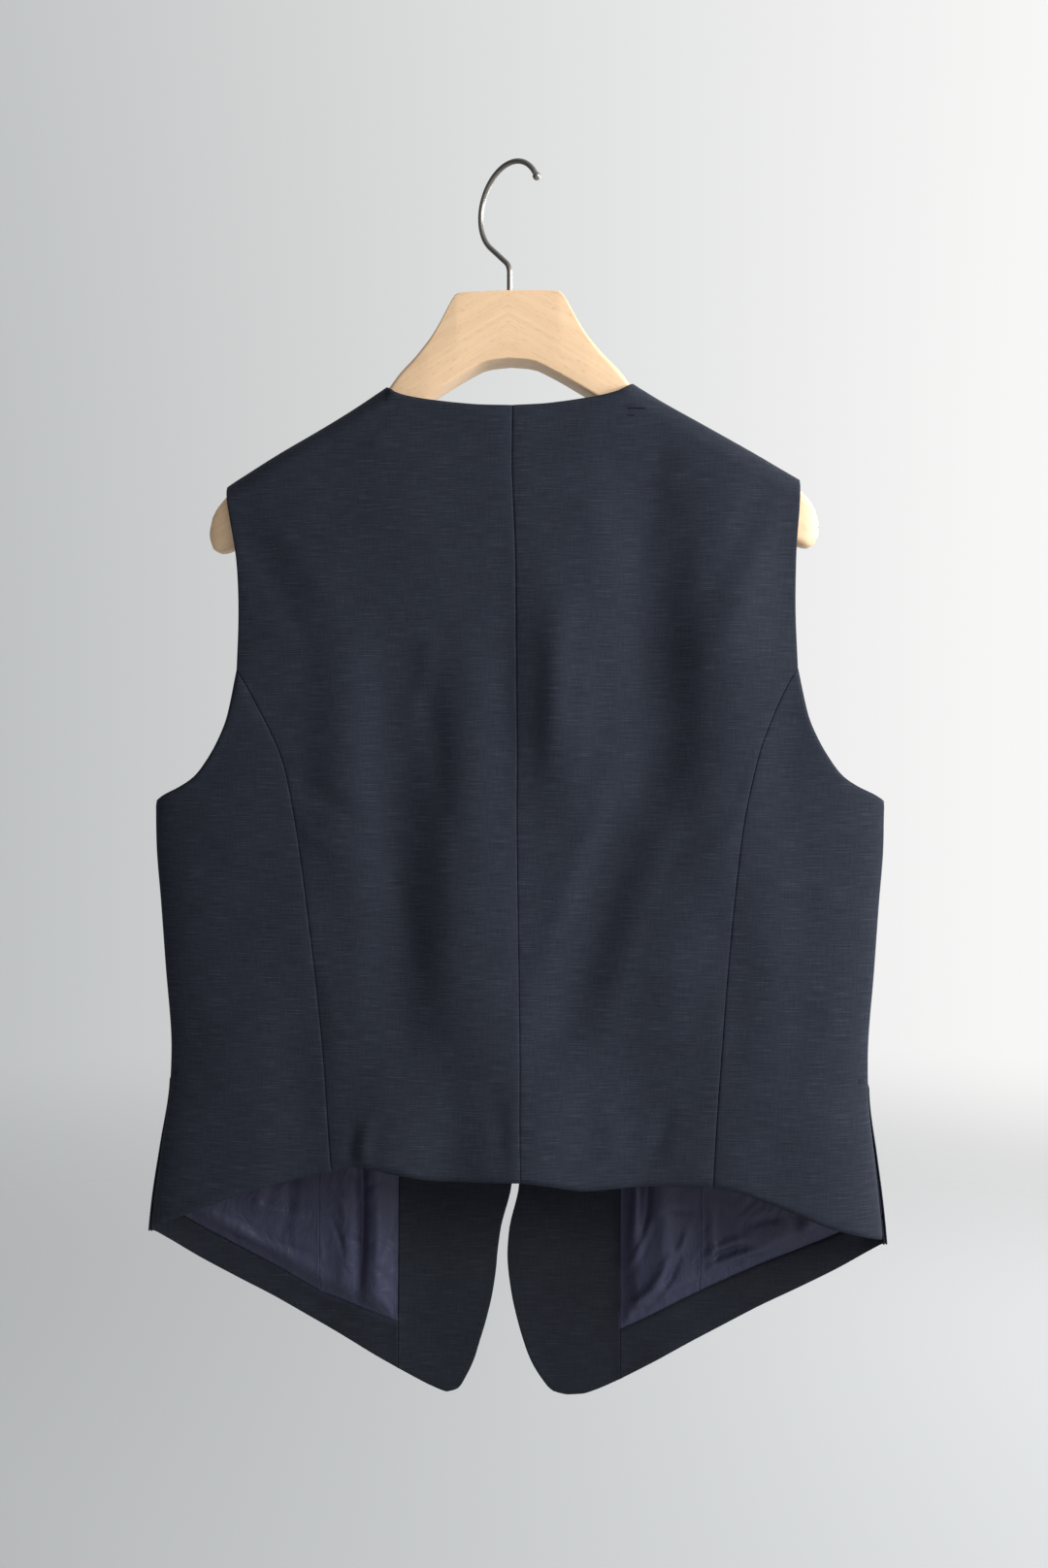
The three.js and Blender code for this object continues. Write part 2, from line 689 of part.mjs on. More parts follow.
function frontGrid(hand) {
  const hemAt = (x) => frontHemAt(Math.abs(x));
  const edgeX = (z) => {
    const onNeck = z > NECK_EDGE[NECK_EDGE.length - 1].z;
    return onNeck ? neckEdgeAt(z) : edgeHalfAt(z) + hand * edgeMiddleAt(z);
  };
  const pointZ = FRONT_EDGE[FRONT_EDGE.length - 1].z;
  const facingX = { low: facingEdgeAt(-800), high: facingEdgeAt(-150) };
  const seamX = { low: liningSeamAt(-800), high: liningSeamAt(-150) };
  const edge = frontHeights(pointZ, HEM_FACING_TOP.frontEdge, crestAt(NECK_POINT)).map((z) => ({
    x: edgeX(z),
    z,
  }));
  const facing = frontHeights(
    hemAt(facingX.low),
    HEM_FACING_TOP.facingEdge,
    crestAt(facingX.high),
  ).map((z) => ({ x: facingEdgeAt(z), z }));
  const seam = frontHeights(
    hemAt(seamX.low),
    HEM_FACING_TOP.liningSeam,
    crestAt(seamX.high),
  ).map((z) => ({ x: liningSeamAt(z), z }));
  facing[facing.length - 1].x = facingX.high;
  seam[seam.length - 1].x = seamX.high;

  const sideHeights = joinedSteps(
    evenSteps(FRONT_SIDE_CORNER, HEM_FACING_TOP.side, HEM_FACING_STEPS),
    evenSteps(HEM_FACING_TOP.side, VENT_TOP, VENT_STEPS_FRONT),
    evenSteps(VENT_TOP, UNDERARM, SIDE_STEPS),
  );
  const side = sideHeights.map((z) => ({ x: halfWidthAt("front", z), z }));
  const roll = rollSteps(crestAt(SHOULDER_TIP)).map((z) => ({ x: frontArmholeAt(z), z }));
  const armholeRows = FRONT_ARMHOLE.filter((row) => row.z < roll[0].z - 4).reverse();
  const armhole = placesAlong(
    [side[side.length - 1], ...armholeRows, roll[0]],
    evenShares(FRONT_ARMHOLE_STEPS),
  );
  const outside = joinedSteps(side, armhole, roll);

  const sideSpread = sideShares(LINING_SIDE_COLUMNS);
  const patches = [
    patchOf(
      edge,
      facing,
      placesBetween(edge[0].x, facingX.low, evenShares(FACING_COLUMNS), hemAt),
      placesBetween(NECK_POINT, facingX.high, evenShares(FACING_COLUMNS), crestAt),
      evenShares(FACING_COLUMNS),
    ),
    patchOf(
      facing,
      seam,
      placesBetween(facingX.low, seamX.low, evenShares(LINING_COLUMNS), hemAt),
      placesBetween(facingX.high, seamX.high, evenShares(LINING_COLUMNS), crestAt),
      evenShares(LINING_COLUMNS),
    ),
    patchOf(
      seam,
      outside,
      placesBetween(seamX.low, outside[0].x, sideSpread, hemAt),
      placesBetween(seamX.high, SHOULDER_TIP, evenShares(LINING_SIDE_COLUMNS), crestAt),
      sideSpread,
    ),
  ];
  return handed(joinPatches(...patches), hand);
}

function namedMesh(name, geometry, finish) {
  const mesh = new THREE.Mesh(geometry, new THREE.MeshStandardMaterial(finish));
  mesh.name = name;
  return mesh;
}

function backMeshes(word, hand) {
  const panel = { side: "back", hand };
  const half = CLOTH_WALL / 2;
  return [
    namedMesh(`back_${word}`, wallSolid(panel, backGrid(hand), half, -half), CLOTH),
    namedMesh(`side_back_${word}`, wallSolid(panel, sideBackGrid(hand), half, -half), CLOTH),
  ];
}

// The facing, the hem strip and the linings are parts of the front's own grid, moved inwards.
// They stop short of the shoulder seam, where the cloth lies on the hanger.
function frontMeshes(word, hand) {
  const panel = { side: "front", hand };
  const grid = frontGrid(hand);
  const half = CLOTH_WALL / 2;
  const top = grid.length - 1 - (ROLL_STEPS - 1);
  const strip = HEM_FACING_STEPS;
  const facingEnd = FACING_COLUMNS;
  const seam = FACING_COLUMNS + LINING_COLUMNS;
  const side = seam + LINING_SIDE_COLUMNS;
  const surface = -half - LAYER_GAP;
  const layer = (name, places, edges, wall, finish) => {
    const drawnIn = insetGrid(places, edges, LINING_INSET);
    return namedMesh(`${name}_${word}`, wallSolid(panel, drawnIn, surface, surface - wall), finish);
  };
  const facing = partOf(grid, 0, top, 0, facingEnd);
  const hemStrip = partOf(grid, 0, strip, facingEnd, side);
  const lining = partOf(grid, strip, top, facingEnd, seam);
  const liningSide = partOf(grid, strip, top, seam, side);
  return [
    namedMesh(`front_${word}`, wallSolid(panel, grid, half, -half), CLOTH),
    layer("facing", facing, ["outside"], FACING_WALL, FACING),
    layer("hem_facing", hemStrip, ["inside", "top"], FACING_WALL, FACING),
    layer("lining", lining, ["inside", "outside", "bottom"], LINING_WALL, LINING),
    layer("lining_side", liningSide, ["inside", "bottom"], LINING_WALL, LINING),
  ];
}

// Buttons lie on the right front, which is the upper layer of the lap
function buttonMesh(height, index) {
  const panel = { side: "front", hand: -1 };
  const normal = wallNormal(panel, 0, height);
  const place = wallPoint(panel, 0, height);
  place.addScaledVector(normal, CLOTH_WALL / 2 + BUTTON_GAP);
  const positions = [0, 0, 0];
  BUTTON_PROFILE.forEach((ring) => {
    for (let i = 0; i < BUTTON_SEGMENTS; i += 1) {
      const angle = (i * 2 * Math.PI) / BUTTON_SEGMENTS;
      positions.push(ring.radius * Math.cos(angle), ring.radius * Math.sin(angle), ring.height);
    }
  });
  positions.push(0, 0, BUTTON_PROFILE[BUTTON_PROFILE.length - 1].height);
  const geometry = closedGeometry(positions, ringFaces(BUTTON_PROFILE.length, BUTTON_SEGMENTS));
  geometry.applyQuaternion(
    new THREE.Quaternion().setFromUnitVectors(new THREE.Vector3(0, 0, 1), normal),
  );
  geometry.translate(place.x, place.y, place.z);
  return namedMesh(`button_${index + 1}`, geometry, BUTTON);
}

// Faces of a stack of rings with a middle point at each end: first point, rings, last point
function ringFaces(rings, segments) {
  const indices = [];
  const lastPoint = rings * segments + 1;
  for (let i = 0; i < segments; i += 1) {
    const next = (i + 1) % segments;
    indices.push(0, 1 + next, 1 + i);
    for (let ring = 0; ring < rings - 1; ring += 1) {
      const low = 1 + ring * segments;
      const high = low + segments;
      indices.push(low + i, low + next, high + next, low + i, high + next, high + i);
    }
    const end = 1 + (rings - 1) * segments;
    indices.push(end + i, end + next, lastPoint);
  }
  return indices;
}

function hangerMesh() {
  const mirrored = HANGER.slice(1).map((slice) => ({ ...slice, x: -slice.x }));
  const slices = [...mirrored.reverse(), ...HANGER];
  const middleOf = (slice) => ({
    y: -FORWARD_BEND * (slice.x / BEND_REACH) ** 2,
    z: (slice.top + slice.bottom) / 2,
  });
  const first = middleOf(slices[0]);
  const positions = [slices[0].x, first.y, first.z];
  slices.forEach((slice) => {
    const middle = middleOf(slice);
    const power = 2 / slice.squareness;
    for (let i = 0; i < HANGER_RING; i += 1) {
      const angle = ((i + 0.5) * 2 * Math.PI) / HANGER_RING;
      const across = Math.sign(Math.cos(angle)) * Math.abs(Math.cos(angle)) ** power;
      const up = Math.sign(Math.sin(angle)) * Math.abs(Math.sin(angle)) ** power;
      positions.push(
        slice.x,
        middle.y + (slice.thickness / 2) * across,
        middle.z + ((slice.top - slice.bottom) / 2) * up,
      );
    }
  });
  const lastSlice = slices[slices.length - 1];
  const last = middleOf(lastSlice);
  positions.push(lastSlice.x, last.y, last.z);
  const indices = ringFaces(slices.length, HANGER_RING);
  return namedMesh("hanger", closedGeometry(positions, indices), WOOD);
}

function hookMesh() {
  const centreZ = WIRE_RADIUS - HOOK_RADIUS;
  const outwards = new THREE.Vector3(-Math.cos(HOOK_TURN), Math.sin(HOOK_TURN), 0);
  const inPlane = (out, z) => outwards.clone().multiplyScalar(out).setZ(z);
  const stemFoot = { out: 0, z: HANGER[0].top + STEM_GAP };
  const arc = evenSteps(HOOK_START_ANGLE, HOOK_END_ANGLE, HOOK_ARC_POINTS).map((degrees) => {
    const angle = THREE.MathUtils.degToRad(degrees);
    return { out: HOOK_RADIUS * Math.cos(angle), z: centreZ + HOOK_RADIUS * Math.sin(angle) };
  });
  const path = new THREE.CatmullRomCurve3(
    [stemFoot, ...STEM_POINTS, ...arc].map((point) => inPlane(point.out, point.z)),
    false,
    "centripetal",
  );
  const sideways = new THREE.Vector3(0, 0, 1).cross(outwards).normalize();
  const rings = evenShares(HOOK_RINGS).slice(0, -1).map((share) => ({
    centre: path.getPointAt(share),
    tangent: path.getTangentAt(share),
    radius: WIRE_RADIUS,
  }));
  const tip = path.getPointAt(1);
  const tipTangent = path.getTangentAt(1);
  BALL_ANGLES.forEach((degrees) => {
    const angle = THREE.MathUtils.degToRad(degrees);
    rings.push({
      centre: tip.clone().addScaledVector(tipTangent, BALL_RADIUS * Math.cos(angle)),
      tangent: tipTangent,
      radius: BALL_RADIUS * Math.sin(angle),
    });
  });
  const positions = [...rings[0].centre];
  rings.forEach((ring) => {
    const upright = ring.tangent.clone().cross(sideways).normalize();
    for (let i = 0; i < HOOK_SEGMENTS; i += 1) {
      const angle = (i * 2 * Math.PI) / HOOK_SEGMENTS;
      const point = ring.centre.clone();
      point.addScaledVector(upright, ring.radius * Math.cos(angle));
      point.addScaledVector(sideways, ring.radius * Math.sin(angle));
      positions.push(point.x, point.y, point.z);
    }
  });
  positions.push(...tip.clone().addScaledVector(tipTangent, BALL_RADIUS));
  const indices = ringFaces(rings.length, HOOK_SEGMENTS);
  return namedMesh("hook", closedGeometry(positions, indices), STEEL);
}

const waistcoat = new THREE.Group();
waistcoat.name = "suit_waistcoat";
waistcoat.add(
  ...backMeshes("left", 1),
  ...backMeshes("right", -1),
  ...frontMeshes("left", 1),
  ...frontMeshes("right", -1),
  ...BUTTON_HEIGHTS.map(buttonMesh),
  hangerMesh(),
  hookMesh(),
);

export default waistcoat;
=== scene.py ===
"""A suit waistcoat hung on a wooden hanger, seen from behind.

Cloth, thread and the hanger's arms are given in millimetres and made in metres.
The buttons, the hook, the room and the camera are given in metres.
The wearer's front faces -Y, the wearer's left is +X, and the origin is inside the hook's top.
"""
import math

import bpy
import numpy as np
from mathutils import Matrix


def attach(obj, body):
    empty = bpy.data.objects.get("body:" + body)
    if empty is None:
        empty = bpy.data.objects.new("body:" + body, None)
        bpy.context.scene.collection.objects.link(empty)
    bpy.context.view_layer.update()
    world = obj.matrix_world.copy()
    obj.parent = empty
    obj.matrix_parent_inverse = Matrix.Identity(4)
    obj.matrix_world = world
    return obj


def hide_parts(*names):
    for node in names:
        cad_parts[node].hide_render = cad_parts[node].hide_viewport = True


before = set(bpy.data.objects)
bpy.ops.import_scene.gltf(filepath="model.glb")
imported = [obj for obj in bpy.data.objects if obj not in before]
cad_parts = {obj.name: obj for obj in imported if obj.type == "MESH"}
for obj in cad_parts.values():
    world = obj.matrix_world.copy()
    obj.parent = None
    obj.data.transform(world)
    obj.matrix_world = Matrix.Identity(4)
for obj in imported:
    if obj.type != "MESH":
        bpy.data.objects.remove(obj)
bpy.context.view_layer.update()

# Centre back panels: the two large pieces of the back, joined down the middle.
# Dark navy plain weave with slubs, cut in one from the neck and shoulder to the hem,
# hung from the hanger by the shoulders, so soft folds run down from there.
MM = 0.001

BODY = [  # height, half width, depth of the back, depth of the front
    (-120, 300, 17, 18),
    (-250, 300, 20, 21),
    (-320, 280, 22, 24),
    (-380, 252, 23.5, 25.5),
    (-413, 236.5, 24, 26),
    (-440, 236, 24, 26),
    (-480, 233, 24, 26),
    (-520, 230, 24, 25.5),
    (-577, 226, 24, 25),
    (-600, 226.5, 25, 25.5),
    (-640, 231, 27, 27),
    (-695, 237, 28, 28),
    (-760, 241, 28, 26),
    (-810, 243, 28, 24),
]
SWAY = [  # height, shift to the wearer's left
    (-200, 0), (-270, -3.2), (-380, -4.2), (-430, -3.4), (-560, -3.5), (-640, -2.3),
    (-690, -1.7), (-800, -1.5),
]
SHOULDER_LINE = [  # distance from the middle, height
    (0, -60), (40, -75), (60, -105), (70, -125), (80, -143.8), (84, -146.4), (100, -156.3),
    (148, -183.2), (188, -206),
]
SIDE_ROUNDING = 0.8
SHOULDER_ROLL = 16
NECK_POINT = 80
SHOULDER_TIP = 188
UNDERARM = -413
VENT_TOP = -592
BACK_CORNER = -692
FRONT_CORNER = -697
ROLL_LENGTH = 25.2
CLOTH_THICKNESS = 1.2
CLOTH_LAYER = (CLOTH_THICKNESS / 2, -CLOTH_THICKNESS / 2)  # outer face, inner face
SEAM_GAP = -0.03
SAG_TOP = -240
SAG_FULL = -330
HELD_REACH = 15


def smooth_curve(rows, key=0, value=1):
    """A curve through a table's rows that never swings past them."""
    ordered = sorted(rows, key=lambda row: row[key])
    keys = np.array([row[key] for row in ordered], float)
    values = np.array([row[value] for row in ordered], float)
    steps = np.diff(values) / np.diff(keys)
    before = np.concatenate([steps[:1], steps])
    after = np.concatenate([steps, steps[-1:]])
    agree = before * after > 0
    slopes = np.where(agree, 2 * before * after / np.where(agree, before + after, 1), 0)

    def read(wanted):
        at = np.clip(wanted, keys[0], keys[-1])
        i = np.clip(np.searchsorted(keys, at) - 1, 0, len(keys) - 2)
        span = keys[i + 1] - keys[i]
        t = (at - keys[i]) / span
        start = values[i] * (1 + 2 * t) * (1 - t) ** 2 + slopes[i] * span * t * (1 - t) ** 2
        end = values[i + 1] * t * t * (3 - 2 * t) - slopes[i + 1] * span * t * t * (1 - t)
        return start + end

    return read


def fade(value, gone, full):
    t = np.clip((value - gone) / (full - gone), 0, 1)
    return t * t * (3 - 2 * t)


half_width = smooth_curve(BODY, 0, 1)
depth_behind = smooth_curve(BODY, 0, 2)
depth_in_front = smooth_curve(BODY, 0, 3)
sway = smooth_curve(SWAY)
shoulder_line = smooth_curve(SHOULDER_LINE)

BACK_FOLDS = [  # top x, top height, bottom x, bottom height, reach to each side, depth
    (-26, -245, -28, -430, 34, 4.6),
    (-28, -285, -26, -405, 15, 2.2),
    (34, -370, 24, -610, 50, 5.4),
    (-82, -180, -90, -430, 36, -5.4),
    (-92, -370, -22, -590, 30, -5.6),
    (-140, -180, -136, -500, 42, 6.4),
    (-114, -440, -92, -600, 30, 1.8),
    (-168, -380, -158, -630, 24, 2.0),
    (24, -290, 30, -440, 26, 2.8),
    (72, -310, 70, -580, 34, -4.4),
    (108, -290, 112, -480, 28, 3.2),
    (-4, -520, -4, -790, 50, 4.8),
    (-84, -520, -88, -790, 70, -6.4),
    (-206, -500, -212, -780, 56, 5.6),
    (74, -560, 80, -790, 44, 4.4),
    (140, -500, 132, -700, 30, -2.0),
]
FRONT_FOLDS = [
    (84, -210, 78, -540, 44, 4.4),
    (132, -230, 124, -600, 44, -4.4),
    (-96, -220, -84, -560, 46, 4.8),
    (-142, -260, -128, -590, 44, -4.0),
    (92, -600, 90, -830, 44, -2.6),
    (-98, -590, -92, -830, 46, -2.2),
]
LAP = {"depth": 4.5, "full": -12, "gone": -56, "low_full": -655, "low_gone": -715}


def fold_depth(folds, x, height):
    total = np.zeros(np.broadcast(x, height).shape)
    for top_x, top, bottom_x, bottom, reach, depth in folds:
        along = (height - bottom) / (top - bottom)
        middle = bottom_x + (top_x - bottom_x) * along
        across = np.clip(np.abs(x - middle) / reach, 0, 1)
        length = np.sin(np.pi * np.clip(along, 0, 1)) ** 0.8
        total = total + depth * (0.5 + 0.5 * np.cos(np.pi * across)) * length
    return total


def side_width(side, height):
    extra = 2 * fade(height, VENT_TOP, -680) + 1.2 * fade(height, VENT_TOP, VENT_TOP - 5)
    return half_width(height) + (extra if side == "front" else 0)


def hung_point(side, hand, across, height):
    """Middle of the hanging cloth. across is -1 at the right side seam and 1 at the left one."""
    x = side_width(side, height) * np.sin(across * np.pi / 2)
    roundness = np.cos(across * np.pi / 2)
    bulge = np.sign(roundness) * np.abs(roundness) ** SIDE_ROUNDING
    if side == "back":
        edge = SEAM_GAP + 2.4 * fade(height, VENT_TOP, BACK_CORNER)
        full = depth_behind(height)
        folds = fold_depth(BACK_FOLDS, x, height)
    else:
        edge = SEAM_GAP
        full = depth_in_front(height)
        folds = fold_depth(FRONT_FOLDS, x, height)
    lap = 0
    if side == "front" and hand < 0:
        lap = LAP["depth"] * fade(x, LAP["gone"], LAP["full"])
        lap = lap * fade(height, LAP["low_gone"], LAP["low_full"])
    depth = edge + (full - edge + folds) * bulge + lap
    ridge = shoulder_line(np.abs(x))
    turn = np.maximum((height - (ridge - SHOULDER_ROLL)) / SHOULDER_ROLL, 0)
    rolled = ridge - SHOULDER_ROLL + SHOULDER_ROLL * np.sin(turn)
    z = np.where(turn > 0, rolled, height)
    bend = 10 * (x / 200) ** 2 * fade(height, ridge - 160, ridge - 60)
    y = (1 if side == "back" else -1) * depth * np.cos(turn) - bend
    return np.stack(np.broadcast_arrays(x + sway(height), y, z), axis=-1)


def hung_normal(side, hand, across, height):
    along = hung_point(side, hand, across + 0.002, height)
    along = along - hung_point(side, hand, across - 0.002, height)
    up = hung_point(side, hand, across, height + 0.2)
    up = up - hung_point(side, hand, across, height - 0.2)
    normal = np.cross(along, up)
    normal /= np.linalg.norm(normal, axis=-1, keepdims=True)
    return -normal if side == "back" else normal


def on_cloth(side, hand, x, height):
    """Middle of the cloth and the way it faces, at a place given by x and height."""
    across = np.arcsin(np.clip(x / side_width(side, height), -1, 1)) * 2 / np.pi
    return hung_point(side, hand, across, height), hung_normal(side, hand, across, height)


def steps(start, end, count):
    return list(np.linspace(start, end, count + 1))


def chained(*lists):
    """Lists end to end, without the doubled joints."""
    result = list(lists[0])
    for more in lists[1:]:
        result += list(more)[1:]
    return result


def shares_between(count, near_start=True, near_end=True, length=100):
    """Even shares of a panel's width, with two more lines close to each sewn edge."""
    shares = list(np.linspace(0, 1, count + 1))
    close = [0.5 / length, 1.3 / length]
    if near_start:
        shares += close
    if near_end:
        shares += [1 - share for share in close]
    return np.array(sorted(shares))


def along_rows(rows, shares):
    """Places on the polyline through the rows, at shares of its length."""
    points = np.array(rows, float)
    lengths = np.concatenate([[0], np.cumsum(np.hypot(*np.diff(points, axis=0).T))])
    smooth_x = smooth_curve(list(zip(lengths, points[:, 0])))
    smooth_z = smooth_curve(list(zip(lengths, points[:, 1])))
    at = np.array(shares) * lengths[-1]
    return np.stack([smooth_x(at), smooth_z(at)], axis=-1)


def cut_line(start_x, end_x, shares, height_at):
    x = start_x + (end_x - start_x) * np.array(shares)
    return np.stack([x, height_at(x)], axis=-1)


def patch(inside, outside, bottom, top, shares):
    """A grid of places between four cut lines. Rows run up and columns run outwards."""
    u = np.array(shares)[None, :, None]
    v = np.linspace(0, 1, len(inside))[:, None, None]
    sides = (1 - u) * inside[:, None] + u * outside[:, None]
    ends = (1 - v) * bottom[None] + v * top[None]
    low = (1 - u) * bottom[0] + u * bottom[-1]
    high = (1 - u) * top[0] + u * top[-1]
    return sides + ends - (1 - v) * low - v * high


def crease_depth(creases, x, height):
    """Creases are slightly bowed soft troughs or ridges: start x, start height, end x,
    end height, half width, depth."""
    total = np.zeros(x.shape)
    for start_x, start_z, end_x, end_z, reach, depth in creases:
        run_x = end_x - start_x
        run_z = end_z - start_z
        length = math.hypot(run_x, run_z)
        along = ((x - start_x) * run_x + (height - start_z) * run_z) / length**2
        across = ((x - start_x) * run_z - (height - start_z) * run_x) / length
        across = across - 0.06 * min(length, 60) * np.sin(np.pi * np.clip(along, 0, 1))
        taper = np.sin(np.pi * np.clip(along, 0, 1)) ** 0.7
        total = total + depth * taper * np.exp(-((across / reach) ** 2))
    return total


def cloth_waver(x, height, seed):
    """The slight unevenness of cloth that hangs free."""
    waver = 0.20 * np.sin(x / 11.3 + 1.7 * np.sin(height / 43 + seed) + seed)
    waver += 0.16 * np.sin(height / 17.9 + 1.3 * np.sin(x / 31 + 2 * seed))
    waver += 0.10 * np.sin((x + 0.7 * height) / 8.7 + seed) * np.sin(height / 23 + seed)
    return waver


def edge_distances(points):
    """Distance along the cloth from each grid point to the panel's four edges."""
    across = np.linalg.norm(np.diff(points, axis=1), axis=-1)
    up = np.linalg.norm(np.diff(points, axis=0), axis=-1)
    from_inside = np.concatenate([np.zeros((len(points), 1)), np.cumsum(across, axis=1)], axis=1)
    from_bottom = np.concatenate([np.zeros((1, points.shape[1])), np.cumsum(up, axis=0)])
    return {
        "inside": from_inside,
        "outside": from_inside[:, -1:] - from_inside,
        "bottom": from_bottom,
        "top": from_bottom[-1:] - from_bottom,
    }


def seam_pull(distance, along, seed):
    """A sewn seam sits a little low, and the cloth beside it puckers."""
    pucker = 0.16 * np.sin(along / 3.1 + 2 * np.sin(along / 14 + seed)) * np.exp(-distance / 7)
    return -0.35 * np.exp(-distance / 2.2) + pucker * np.minimum(distance / 1.5, 1)


def make_cloth(
    name, side, hand, places, layer, seams=(), creases=(), seed=0.0, sag=0.0, held=()
):
    """A thin closed wall of cloth over a grid of places, with rounded edges and sewn seams.
    With a sag, it stands off inwards by that much, except along its held edges."""
    outer, inner = layer
    x = places[..., 0] * hand
    height = places[..., 1]
    middle, normal = on_cloth(side, hand, x, height)
    edges = edge_distances(middle)
    nearest = np.minimum.reduce(list(edges.values()))
    relief = crease_depth(creases, x, height) + cloth_waver(x, height, seed)
    relief = relief * fade(nearest, 0, 9)
    if sag:
        from_held = np.minimum.reduce([edges[edge] for edge in held])
        relief = relief - sag * fade(height, SAG_TOP, SAG_FULL) * fade(from_held, 0, HELD_REACH)
    for seam in seams:
        along = height if seam in ("inside", "outside") else x
        relief = relief + seam_pull(edges[seam], along, seed)
    rounding = min(0.9, (outer - inner) / 2)
    rise = 1 - np.clip(nearest / rounding, 0, 1)
    drop = (outer - inner) / 2 * 0.8 * (1 - np.sqrt(1 - rise**2))
    layers = []
    for distance in (outer - drop, inner + drop):
        layers.append(middle + normal * (distance + relief)[..., None])
    return cloth_mesh(name, layers, x, height)


def smooth_mesh(name, points, faces):
    mesh = bpy.data.meshes.new(name)
    mesh.from_pydata(points.tolist(), [], faces)
    mesh.polygons.foreach_set("use_smooth", np.ones(len(mesh.polygons), dtype=bool))
    mesh.update()
    return mesh


def in_scene(name, data):
    """A new object in the scene, at the origin."""
    made = bpy.data.objects.new(name, data)
    bpy.context.scene.collection.objects.link(made)
    return made


def cloth_mesh(name, layers, x, height):
    rows, columns = x.shape
    points = np.concatenate([layer.reshape(-1, 3) for layer in layers]) * MM
    index = np.arange(rows * columns).reshape(rows, columns)
    corner = [index[:-1, :-1], index[:-1, 1:], index[1:, 1:], index[1:, :-1]]
    outer_faces = np.stack([c.ravel() for c in corner], axis=-1)
    inner_faces = outer_faces[:, ::-1] + rows * columns
    border = np.concatenate([index[0], index[1:, -1], index[-1, -2::-1], index[-2:0:-1, 0]])
    after = np.roll(border, -1)
    rim = np.stack([after, border, border + rows * columns, after + rows * columns], axis=-1)
    faces = np.concatenate([outer_faces, inner_faces, rim])
    mesh = smooth_mesh(name, points, faces.tolist())
    first = points[faces[:, 1]] - points[faces[:, 0]]
    second = points[faces[:, 2]] - points[faces[:, 0]]
    volume = np.einsum("ij,ij->i", points[faces[:, 0]], np.cross(first, second)).sum()
    if volume < 0:
        mesh.flip_normals()
    place_on_cloth = np.stack([x.ravel(), height.ravel()], axis=-1) * MM
    place_on_cloth = np.concatenate([place_on_cloth, place_on_cloth])
    corners = np.zeros(len(mesh.loops), dtype=np.int32)
    mesh.loops.foreach_get("vertex_index", corners)
    layer = mesh.uv_layers.new(name="cloth")
    layer.data.foreach_set("uv", place_on_cloth[corners].astype(np.float32).ravel())
    mesh.update()
    return in_scene(name, mesh)


BACK_NECK = [
    (0, -160), (18, -159.4), (33, -158), (50, -155.6), (62, -153.4), (72, -150.4),
    (77, -146.5), (79.3, -141),
]
BACK_ARMHOLE = [(-197, 188), (-223, 185), (-260, 180.7), (-297, 179.5), (-328, 180)]
CURVED_SEAM = [
    (-328, 180), (-344, 170.5), (-359, 163), (-381, 153.5), (-399, 148.5), (-434, 142),
    (-520, 132), (-582, 126.5), (-655, 121),
]
BACK_MIDDLE = [(-135, 80), (-200, 78), (-328, 70), (-434, 62), (-655, 50)]
BACK_HEM = [  # signed x, height: the hem is pulled up a little on the wearer's left
    (-237, -692), (-200, -681), (-170, -668.7), (-128, -657), (-88, -657), (-49, -659.5),
    (-16, -655), (0, -653.3), (41, -654), (74, -649.6), (97, -646), (118, -651), (132, -654),
    (170, -665), (206, -679), (237, -692),
]
BACK_CREASES = {
    1: [
        (93, -655, 88, -612, 4.5, 1.6),
        (101, -652, 99, -618, 4, -1.2),
        (150, -395, 96, -432, 8, -1.1),
        (148, -428, 104, -452, 6, 0.7),
        (64, -320, 40, -440, 9, -1.0),
        (52, -300, 72, -372, 7, 0.8),
        (84, -440, 58, -540, 9, -0.9),
        (14, -590, 6, -652, 7, -1.2),
        (20, -600, 90, -612, 9, 0.6),
        (60, -566, 118, -574, 7, -0.6),
        (168, -220, 110, -300, 10, 0.9),
        (176, -236, 128, -330, 8, -0.7),
    ],
    -1: [
        (-150, -398, -108, -436, 8, -1.0),
        (-146, -430, -92, -462, 7, 0.8),
        (-176, -212, -120, -330, 10, 1.3),
        (-164, -200, -108, -306, 9, -1.1),
        (-98, -160, -82, -260, 9, -0.9),
        (-84, -156, -128, -176, 6, 0.5),
        (-70, -400, -22, -520, 8, -1.0),
        (-44, -300, -34, -420, 7, 0.9),
        (-58, -600, -62, -652, 9, 0.9),
        (-100, -600, -84, -650, 6, -1.0),
        (-58, -560, -120, -566, 7, 0.5),
    ],
}
SEAM_TOP = -328
SEAM_FOOT = -655
SEAM_LEAN = [(-160, -3), (-330, -2), (-430, -3), (-600, -5.5), (-655, -7)]  # height, shift
back_seam = smooth_curve(CURVED_SEAM)
seam_lean = smooth_curve(SEAM_LEAN)
back_middle = smooth_curve(BACK_MIDDLE)
back_armhole = smooth_curve(BACK_ARMHOLE)
back_hem = smooth_curve(BACK_HEM)


def curved_seam(hand, height):
    """Distance from the middle to the seam between the two pieces of one side."""
    return back_seam(height) + hand * seam_lean(height) * fade(height, SEAM_TOP, -400)


def crest(x):
    """Height up the cloth of the shoulder seam, on the crest of the roll."""
    return shoulder_line(np.abs(x)) + (math.pi / 2 - 1) * SHOULDER_ROLL - SEAM_GAP


def back_line(bottom, top, x_at):
    roll = top - ROLL_LENGTH
    heights = chained(steps(bottom, SEAM_TOP, 84), steps(SEAM_TOP, roll, 32), steps(roll, top, 12))
    return np.array([(x_at(z), z) for z in heights])


